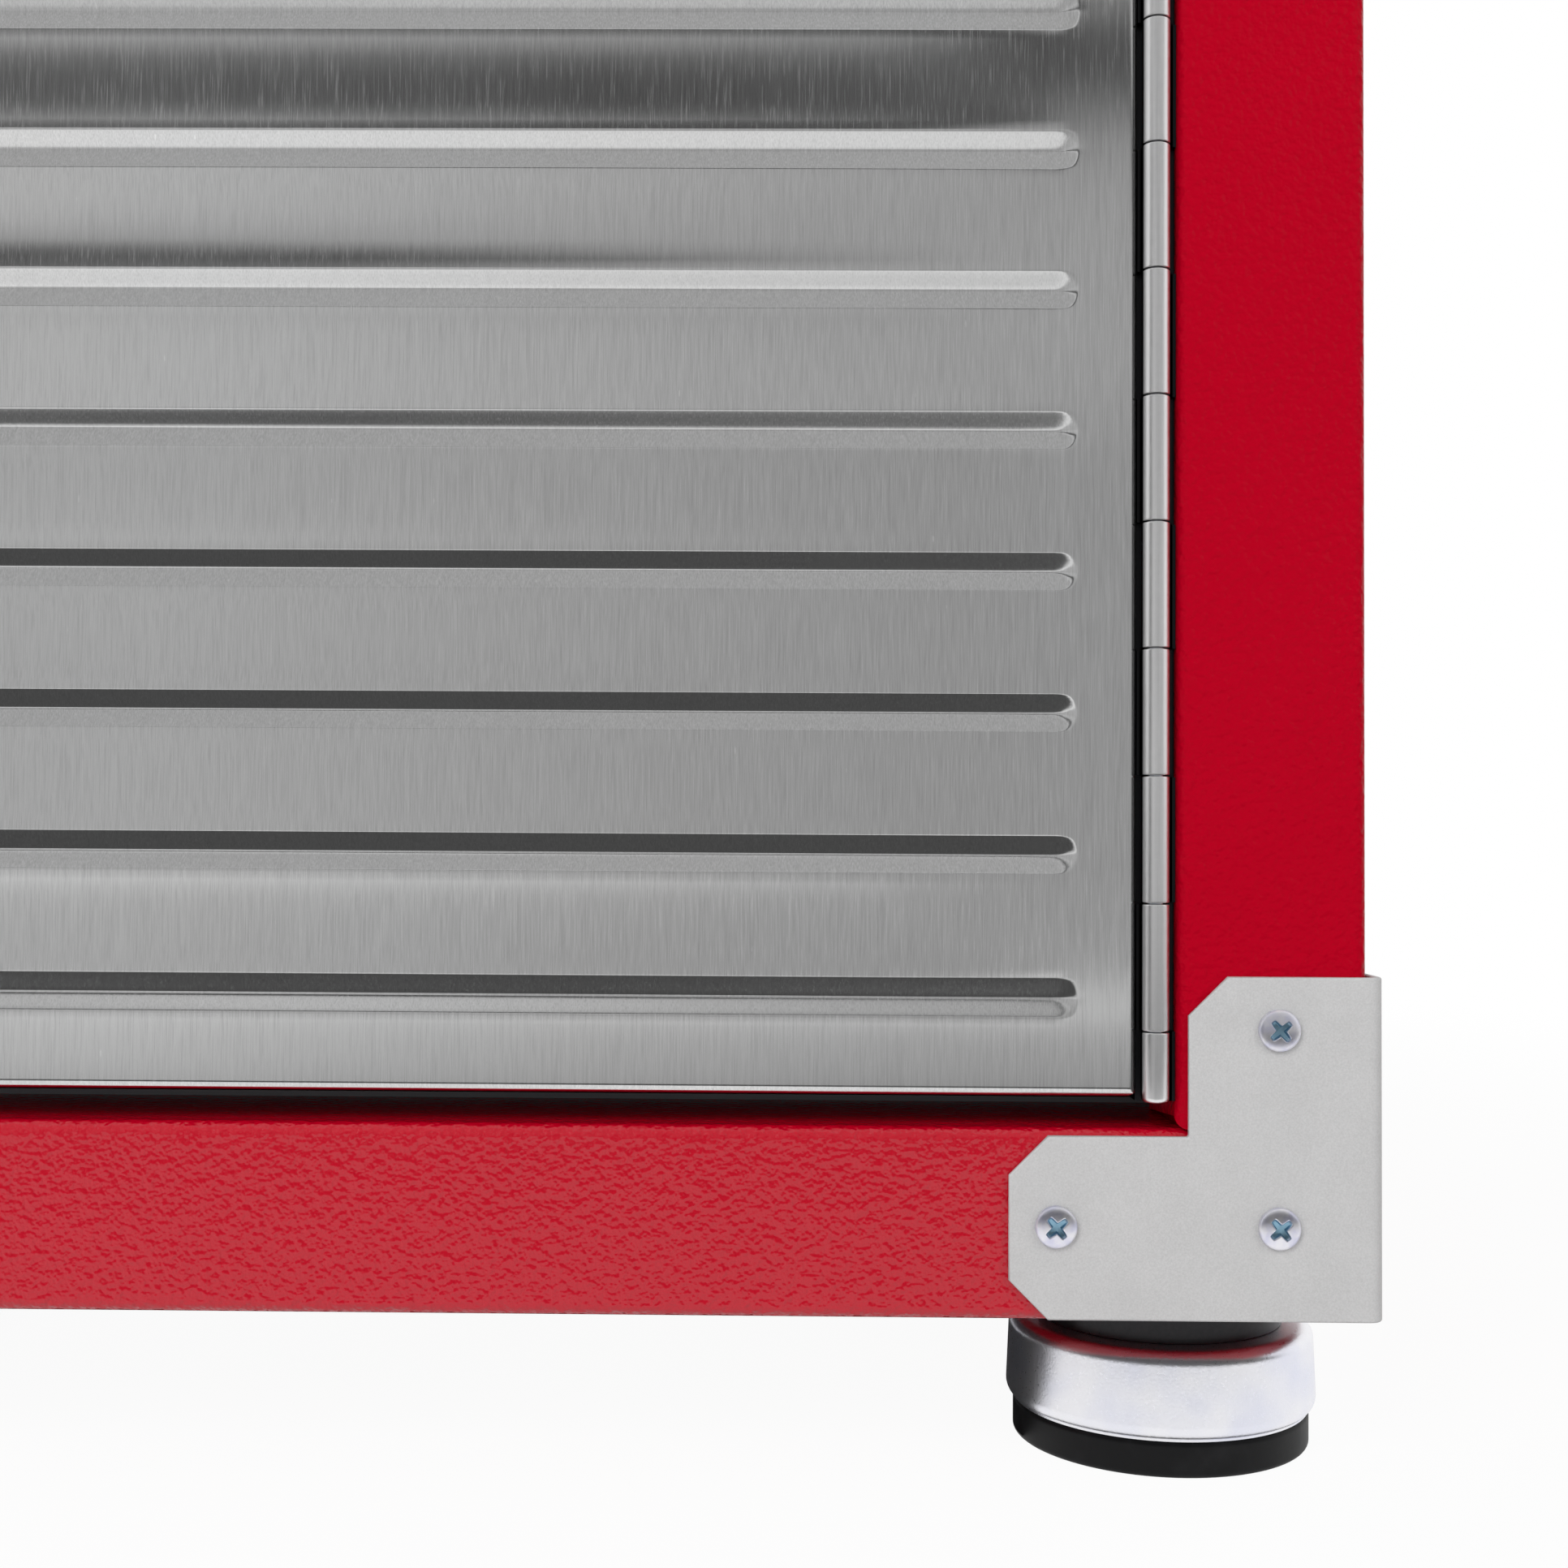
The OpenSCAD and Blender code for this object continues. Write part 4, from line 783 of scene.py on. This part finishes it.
# Front of the right door: the larger of the two folds' depths, plus V-grooves by distance from each groove's
# line, softened at rim and root, plus a shallow dish between grooves. The dish fades towards their ends and
# grows away from the hinge, most on every third strip. What lies past a line across each corner is drawn back
# to that line, the brim keeps inside the flanges, and long strips cover the back
def skinPatch():
    low, high, half = doorLow, doorHigh, door["grooveHeight"] / 2
    depth = high.y - low.y
    firstX = low.x + door["handleBand"] + half
    lastX = high.x - door["hingeMargin"] - half
    count = 1 + int((high.z - low.z - 2 * door["firstGroove"]) // door["pitch"])
    centres = low.z + door["firstGroove"] + door["pitch"] * np.arange(count)
    fan = np.array([0, 0.15, 0.4, 0.8, 1.1, 1.7, 2.3, 2.9, 3.4, 3.6, 3.7, 3.8, 3.9, 4.2, 6, 10]) * mm
    around = np.unique(np.round(np.r_[-fan, fan], 7))
    rowsAt = np.unique(np.round((centres[:, None] + around).ravel(), 7))
    ends = np.array([-6, -4.1, -3.85, -3.65, -3.3, -2.8, -2.1, -1.3, -0.5, 0.8]) * mm
    fade = np.array([9, 22, 36, 80]) * mm
    colsAt = np.r_[firstX + ends, firstX + fade, (firstX + lastX) / 2, lastX - fade[::-1], lastX - ends[::-1]]
    x, backX = trayLine(low.x, high.x, depth, colsAt)
    z, backZ = trayLine(low.z, high.z, depth, rowsAt)
    nearest = centres[np.clip(np.round((z - centres[0]) / door["pitch"]).astype(int), 0, count - 1)]
    offZ = (z - nearest)[:, None]
    offX = np.maximum(np.maximum(firstX - x, x - lastX), 0)[None]
    distance = np.sqrt(offZ ** 2 + offX ** 2 + door["root"] ** 2) - door["root"] / 2
    level = 1 - distance / half
    groove = door["grooveDepth"] * (level + np.sqrt(level ** 2 + door["rim"] ** 2)) / 2
    groove -= groove.min()
    strip = np.clip(1 - (np.abs(offZ) - half) / (door["pitch"] / 2 - half), -1, 1)
    inward = np.minimum(x - firstX, lastX - x)[None]
    reach = np.clip(inward / door["dishFade"] + door["dishStart"], 0, 1)
    number = np.floor((z - centres[0]) / door["pitch"])
    beat = (1 + np.cos(2 * np.pi * (number - door["dishPeak"]) / door["dishBeat"])) / 2
    grown = np.clip((lastX - x - door["dishFade"]) / door["dishRun"], 0, 1)
    grown = 1 + door["dishGrowth"] * beat[:, None] * grown[None]
    between = (z > centres[0]) & (z < centres[-1])
    bowl = np.clip(1 - strip ** 2, 0, 1) * reach ** 2 * (3 - 2 * reach)
    dish = door["dish"] * bowl * grown * between[:, None]
    face = (backX[None] == 0) & (backZ[:, None] == 0)
    y = low.y + np.maximum(backX[None], backZ[:, None]) + np.where(face, groove + dish, 0)
    wholeX, wholeZ = x[None] + 0 * y, z[:, None] + 0 * y
    midX, midZ = (low.x + high.x) / 2, (low.z + high.z) / 2
    overX = np.clip(1 - ((high.x - low.x) / 2 - np.abs(wholeX - midX)) / door["cornerX"], 0, 1)
    overZ = np.clip(1 - ((high.z - low.z) / 2 - np.abs(wholeZ - midZ)) / door["cornerZ"], 0, 1)
    cut = np.clip(overX + overZ - 1, 0, 1) / 2
    wholeX -= np.sign(wholeX - midX) * cut * door["cornerX"]
    wholeZ -= np.sign(wholeZ - midZ) * cut * door["cornerZ"]
    inner, brim = door["skin"], [0, 1, -2, -1]
    wholeX[brim] = np.clip(wholeX[brim], low.x + inner, high.x - inner)
    wholeZ[:, brim] = np.clip(wholeZ[:, brim], low.z + inner, high.z - inner)
    y[[0, -1]] = low.y + depth - door["inset"]
    y[:, [0, -1]] = low.y + depth - door["inset"]
    points = np.stack([wholeX, y, wholeZ], -1)
    rows, cols = y.shape
    index = np.arange(rows * cols).reshape(rows, cols)
    first = int(np.argmax(z > low.z + door["endStrip"]))
    last = rows - 1 - first
    lowEnd = np.r_[index[0], index[1:first + 1, -1], index[first:0:-1, 0]]
    highEnd = np.r_[index[-1, ::-1], index[-2:last - 1:-1, 0], index[last:-1, -1]]
    left, right = index[first:last + 1, 0], index[first:last + 1, -1]
    cover = np.stack([left[:-1], right[:-1], right[1:], left[1:]], 1)
    return points.reshape(-1, 3), [gridFaces(rows, cols), lowEnd[None], highEnd[None], cover]


skin = skinPatch()
addPair("DoorSkin", "door_skin", [skin], "brushed_stainless", crease=60)
print("door skins made:", len(skin[1][0]), "quads each")


# Handles and lock

handle = dict(bar=14 * mm, end=1.6 * mm, post=10 * mm, span=256 * mm, fillet=1.2 * mm)
handleLow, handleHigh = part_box("right_handle")
handleX = (handleLow.x + handleHigh.x) / 2
barY, midZ = handleLow.y + handle["bar"] / 2, (handleLow.z + handleHigh.z) / 2
barR, postR = handle["bar"] / 2, handle["post"] / 2
barProfile = roundedLine([(0, handleLow.z), (barR, handleLow.z), (barR, handleHigh.z), (0, handleHigh.z)],
                         [handle["end"], handle["end"]], 9)
postLength = doorLow.y - barY
postRadii = [0.1 * mm, 0.8 * mm, 0.2 * mm]
postProfile = roundedLine([(0, 0), (postR, 0), (postR, postLength - handle["fillet"]),
                           (postR + handle["fillet"], postLength), (0, postLength)], postRadii, 6)
handlePost = pointed(turned(postProfile, 48), "+y")
handlePatches = [moved(turned(barProfile, 64), (handleX, barY, 0))]
for side in (-1, 1):
    handlePatches.append(moved(handlePost, (handleX, barY, midZ + side * handle["span"] / 2)))
addPair("Handle", "handle", handlePatches, "brushed_stainless")

lock = dict(flange=24 * mm, thick=2 * mm, bore=12.1 * mm, body=19 * mm, edge=0.8 * mm)
lockLow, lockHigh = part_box("lock_body")
lockX, lockZ = (lockLow.x + lockHigh.x) / 2, (lockLow.z + lockHigh.z) / 2
bodyLength = lockHigh.y - lockLow.y
bodyRadii = [0.3 * mm, lock["edge"], 0.05 * mm, 0.05 * mm, 0.4 * mm, 0.2 * mm]
bodyProfile = roundedLine([(lock["bore"] / 2, bodyLength / 2), (lock["bore"] / 2, 0), (lock["flange"] / 2, 0),
                           (lock["flange"] / 2, lock["thick"]), (lock["body"] / 2, lock["thick"]),
                           (lock["body"] / 2, bodyLength), (lock["bore"] / 2, bodyLength),
                           (lock["bore"] / 2, bodyLength / 2)], bodyRadii, 6)
addPiece("lockBody", [moved(pointed(turned(bodyProfile, 72), "+y"), (lockX, lockLow.y, lockZ))], "right_door",
         "zinc_plate", ["lock_body"])
print("handles and lock made")


# Feet

foot = dict(shoulder=3 * mm, taper=0.5 * mm, lip=3.2 * mm, turn=60, wall=1.4 * mm, hold=0.3 * mm,
            hubEdge=1 * mm, hubGap=1 * mm, padEdge=1 * mm, padGap=0.1 * mm, neckGap=0.15 * mm, padSunk=6 * mm,
            stud=10 * mm, holeGap=0.1 * mm, threadHalf=0.75 * mm, threadDepth=0.35 * mm, threadStart=1 * mm)


def arcLine(centre, radius, first, last, steps=14):
    angle = np.linspace(first, last, steps) * deg
    return np.asarray(centre) + radius * np.stack([np.cos(angle), np.sin(angle)], 1)


# Half section of the cup, out over the shoulder, down to the turned-in lip and back up the inside
def cupProfile(r, top, bottom):
    lip, wall = foot["lip"], foot["wall"]
    hole = foot["stud"] / 2 + foot["holeGap"]

    def face(inset):
        shoulder, edge = foot["shoulder"] - inset, r - inset
        over = arcLine((edge - foot["taper"] - shoulder, top - inset - shoulder), shoulder, 90, 0)
        under = arcLine((edge - lip, bottom + lip), lip, 0, -foot["turn"])
        end = (edge - lip * (1 - np.cos(foot["turn"] * deg)), bottom)
        return np.concatenate([[(hole, top - inset)], over[:1] - [foot["hold"], 0], over, under, [end]])

    return np.concatenate([face(0), face(wall)[::-1], [(hole, top)]])


# One foot: the cup, the pad under it, and a hub whose stud has a zigzag of thread
def footPieces(corner, title):
    body = f"{corner}_foot"
    cupLow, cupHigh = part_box(f"{corner}_cup")
    padLow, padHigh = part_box(f"{corner}_pad")
    studLow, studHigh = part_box(f"{corner}_stud")
    spot = ((cupLow.x + cupHigh.x) / 2, (cupLow.y + cupHigh.y) / 2, 0)
    r, top, bottom = (cupHigh.x - cupLow.x) / 2, cupHigh.z, cupLow.z
    cup = turned(cupProfile(r, top, bottom))
    addPiece(title + "Cup", [moved(cup, spot)], body, "zinc_cup", [f"{corner}_cup"])
    padR = (padHigh.x - padLow.x) / 2
    neckR, edge = r - foot["lip"] - foot["neckGap"], foot["padEdge"]
    padTop, neckTop = bottom - foot["padGap"], padHigh.z - foot["padSunk"]
    pad = roundedLine([(0, 0), (padR, 0), (padR, padTop), (neckR, padTop), (neckR, neckTop), (0, neckTop)],
                      [edge, edge, 0.1 * mm, 0.5 * mm], 7)
    addPiece(title + "Pad", [moved(turned(pad), spot)], body, "black_rubber", [f"{corner}_pad"])
    hubR, hubTop, studR = (studHigh.x - studLow.x) / 2, sideLow.z - foot["hubGap"], foot["stud"] / 2
    start = foot["threadStart"]
    turns = np.arange(hubTop + start, studHigh.z - start, foot["threadHalf"])
    thread = np.stack([studR - foot["threadDepth"] * (np.arange(len(turns)) % 2), turns], 1)
    hub = roundedLine([(0, top), (hubR, top), (hubR, hubTop), (studR, hubTop), (studR, hubTop + start)],
                      [0.3 * mm, foot["hubEdge"], 0.2 * mm], 6)
    stud = np.concatenate([hub, thread, [(studR - start, studHigh.z), (0, studHigh.z)]])
    addPiece(title + "Stud", [moved(turned(stud, 72), spot)], body, "black_steel", [f"{corner}_stud"])


for corner, title in [("front_right", "frontRight"), ("front_left", "frontLeft"),
                      ("rear_right", "rearRight"), ("rear_left", "rearLeft")]:
    footPieces(corner, title)
print("feet made")


# Stage

white = shade((1, 1, 1))


def emission(start, strength):
    return start.node("ShaderNodeEmission", None, {"Color": white, "Strength": strength})


# A material whose recipe returns the whole shader
def emissive(name, recipe):
    material = bpy.data.materials.new(name)
    material.use_nodes = True
    tree = material.node_tree
    tree.nodes.remove(tree.nodes["Principled BSDF"])
    shader = recipe(Wire(tree))
    tree.links.new(shader.socket, tree.nodes["Material Output"].inputs["Surface"])
    return material


def plate(name, corners, material, shown):
    mesh = bpy.data.meshes.new(name)
    mesh.from_pydata(corners, [], [(0, 1, 2, 3)])
    mesh.materials.append(material)
    sheetObject = bpy.data.objects.new(name, mesh)
    bpy.context.scene.collection.objects.link(sheetObject)
    if not shown:
        sheetObject.visible_camera = sheetObject.visible_diffuse = sheetObject.visible_shadow = False


# 1 for rays that show a surface to the camera, by mirror or through glass too, and 0 for rays that light it
def seenRays(start):
    rays = {key: start.node("ShaderNodeLightPath", out=key)
            for key in ("Is Camera Ray", "Is Glossy Ray", "Is Transmission Ray")}
    first = start.math("MAXIMUM", rays["Is Camera Ray"], rays["Is Glossy Ray"])
    return start.math("MAXIMUM", first, rays["Is Transmission Ray"])


studio = dict(floorSize=14.0, floorTone=0.85, floorWhite=0.95, fadeFrom=0.45, fadeTo=1.3, ambient=0.42)


# Lit floor near the part, so that its shadow shows, that fades to plain white further off
def floorRecipe(start):
    spot = start.node("ShaderNodeTexCoord", out="Object")
    far = start.node("ShaderNodeVectorMath", {"operation": "LENGTH"}, {0: spot}, out="Value")
    share = studio["floorWhite"] + (1 - studio["floorWhite"]) * far.step(studio["fadeFrom"], studio["fadeTo"])
    lit = start.node("ShaderNodeBsdfDiffuse", None, {"Color": shade([studio["floorTone"]] * 3)})
    mixed = {0: seenRays(start) * share, 1: lit, 2: emission(start, 1.0)}
    return start.node("ShaderNodeMixShader", None, mixed)


floorHalf = studio["floorSize"] / 2
plate("floor", [(-floorHalf, -floorHalf, 0), (floorHalf, -floorHalf, 0), (floorHalf, floorHalf, 0),
                (-floorHalf, floorHalf, 0)], emissive("paleFloor", floorRecipe), True)

view = dict(place=(345.1 * mm, -587.0 * mm, 129.5 * mm), pitch=1.476, yaw=0.664, roll=-0.362, lens=43.41,
            sensor=36, clip=0.01)

# Boards that only gloss shows, drawn as the picture that the flat of a door mirrors: across and up are slopes
# from the mirror image of the camera. The dark and bright boards lie in planes through that image, so that
# the flat of a door sees them edge-on and its grooves don't
mirrorX, mirrorY, mirrorZ = view["place"][0], 2 * doorLow.y - view["place"][1], view["place"][2]
picture = dict(
    across=[(-1.4, 0.05), (-0.72, 0.07), (-0.6, 0.66), (-0.45, 0.63), (-0.13, 0.475), (0.11, 0.395),
            (0.17, 0.405), (0.4, 0.45), (1.4, 0.5)],
    dark=[(-0.2, 1.0), (0.1, 1.0), (0.19, 0.95), (0.25, 1.14), (0.33, 1.12), (0.366, 1.08), (0.38, 0.7),
          (0.396, 0.04), (0.9, 0.04)],
    lift=[(-0.2, 0.0), (0.452, 0.0), (0.462, 0.75), (0.505, 0.75), (0.54, 0.48), (0.9, 0.48)],
    tilt=0.03,
)
frontBoards = dict(
    lowBoard=dict(distance=0.46, low=0.0084, high=0.047, width=5.2, gain=1.2),
    frontBoard=dict(distance=1.12, low=0.001, high=0.34, width=5.2, gain=1.0),
    highBoard=dict(distance=1.4, low=0.30, high=4.0, width=6.4, gain=1.0),
)
lowBoards = dict(
    darkBoard=dict(near=0.02, nearZ=0.072, far=0.46, farZ=0.0084, left=-2.6, right=2.6, glow=0.09),
    brightBoard=dict(near=0.80, nearZ=0.0443, far=1.115, farZ=0.0203, left=-2.6, right=2.6, glow=0.9),
    # a dark sheet under the cabinet, seen only in gloss, that stands for the cabinet's shadow on the floor:
    # painted shade
    underBoard=dict(near=-0.03, nearZ=0.001, far=-0.45, farZ=0.001, left=-2.6, right=0.40, glow=0.03),
)


# Straight lines between (place, level) pairs; a ramp holds levels up to 1, so they are halved in it
def course(start, wire, pairs):
    first, last = pairs[0][0], pairs[-1][0]
    stops = [((place - first) / (last - first), level / 2) for place, level in pairs]
    ramp = start.node("ShaderNodeValToRGB", {"stops": stops}, {0: (wire - first) / (last - first)})
    return 2.0 * ramp


# Light level across times the dark band, plus the lift, at a place on a board as the mirror shows it
def pictureRecipe(start, gain):
    spot = start.node("ShaderNodeTexCoord", out="Object")
    x, y, z = [start.node("ShaderNodeSeparateXYZ", None, {0: spot}, out=axis) for axis in range(3)]
    across, up = (x - mirrorX) / (mirrorY - y), (z - mirrorZ) / (mirrorY - y)
    band = course(start, up - picture["tilt"] * across, picture["dark"])
    level = gain * (course(start, across, picture["across"]) * band + course(start, up, picture["lift"]))
    return emission(start, level)


for name, board in frontBoards.items():
    side, boardY = board["width"] / 2, frontY - board["distance"]
    corners = [(-side, boardY, board["low"]), (side, boardY, board["low"]), (side, boardY, board["high"]),
               (-side, boardY, board["high"])]
    plate(name, corners, emissive(name, lambda start: pictureRecipe(start, board["gain"])), False)
for name, board in lowBoards.items():
    nearY, farY, left, right = frontY - board["near"], frontY - board["far"], board["left"], board["right"]
    corners = [(left, farY, board["farZ"]), (right, farY, board["farZ"]), (right, nearY, board["nearZ"]),
               (left, nearY, board["nearZ"])]
    plate(name, corners, emissive(name, lambda start: emission(start, board["glow"])), False)

world = bpy.data.worlds.new("studio")
bpy.context.scene.world = world
world.use_nodes = True
world.cycles.sampling_method = "NONE"  # sampled as a light, the world would shine through the boards
air = Wire(world.node_tree)
soft = air.node("ShaderNodeBackground", None, {"Color": white, "Strength": studio["ambient"]})
plain = air.node("ShaderNodeBackground", None, {"Color": white, "Strength": 1.0})
mixed = air.node("ShaderNodeMixShader", None, {0: seenRays(air), 1: soft, 2: plain})
worldOut = next(item for item in world.node_tree.nodes if item.type == "OUTPUT_WORLD")
world.node_tree.links.new(mixed.socket, worldOut.inputs["Surface"])

lamps = dict(
    key=dict(place=(-1.2, -3.0, 2.3), aim=(0, 0, 0.6), size=1.6, power=62),
    fill=dict(place=(2.2, -2.2, 1.6), aim=(0, 0, 0.6), size=1.6, power=22),
    low=dict(place=(-0.9, -1.5, 0.22), aim=(0.2, -0.2, 0.06), size=0.5, power=5),
)
for name, lamp in lamps.items():
    data = bpy.data.lights.new(name, "AREA")
    data.size, data.energy = lamp["size"], lamp["power"]
    source = bpy.data.objects.new(name, data)
    bpy.context.scene.collection.objects.link(source)
    source.location = lamp["place"]
    source.visible_glossy = False
    source.rotation_euler = (Vector(lamp["aim"]) - source.location).to_track_quat("-Z", "Y").to_euler()

cameraData = bpy.data.cameras.new("camera")
cameraData.lens, cameraData.sensor_width, cameraData.clip_start = view["lens"], view["sensor"], view["clip"]
camera = bpy.data.objects.new("camera", cameraData)
bpy.context.scene.collection.objects.link(camera)
camera.location = view["place"]
camera.rotation_euler = ((90 + view["pitch"]) * deg, view["roll"] * deg, view["yaw"] * deg)
bpy.context.scene.camera = camera
bpy.context.scene.view_settings.view_transform = "Standard"
print("stage made")
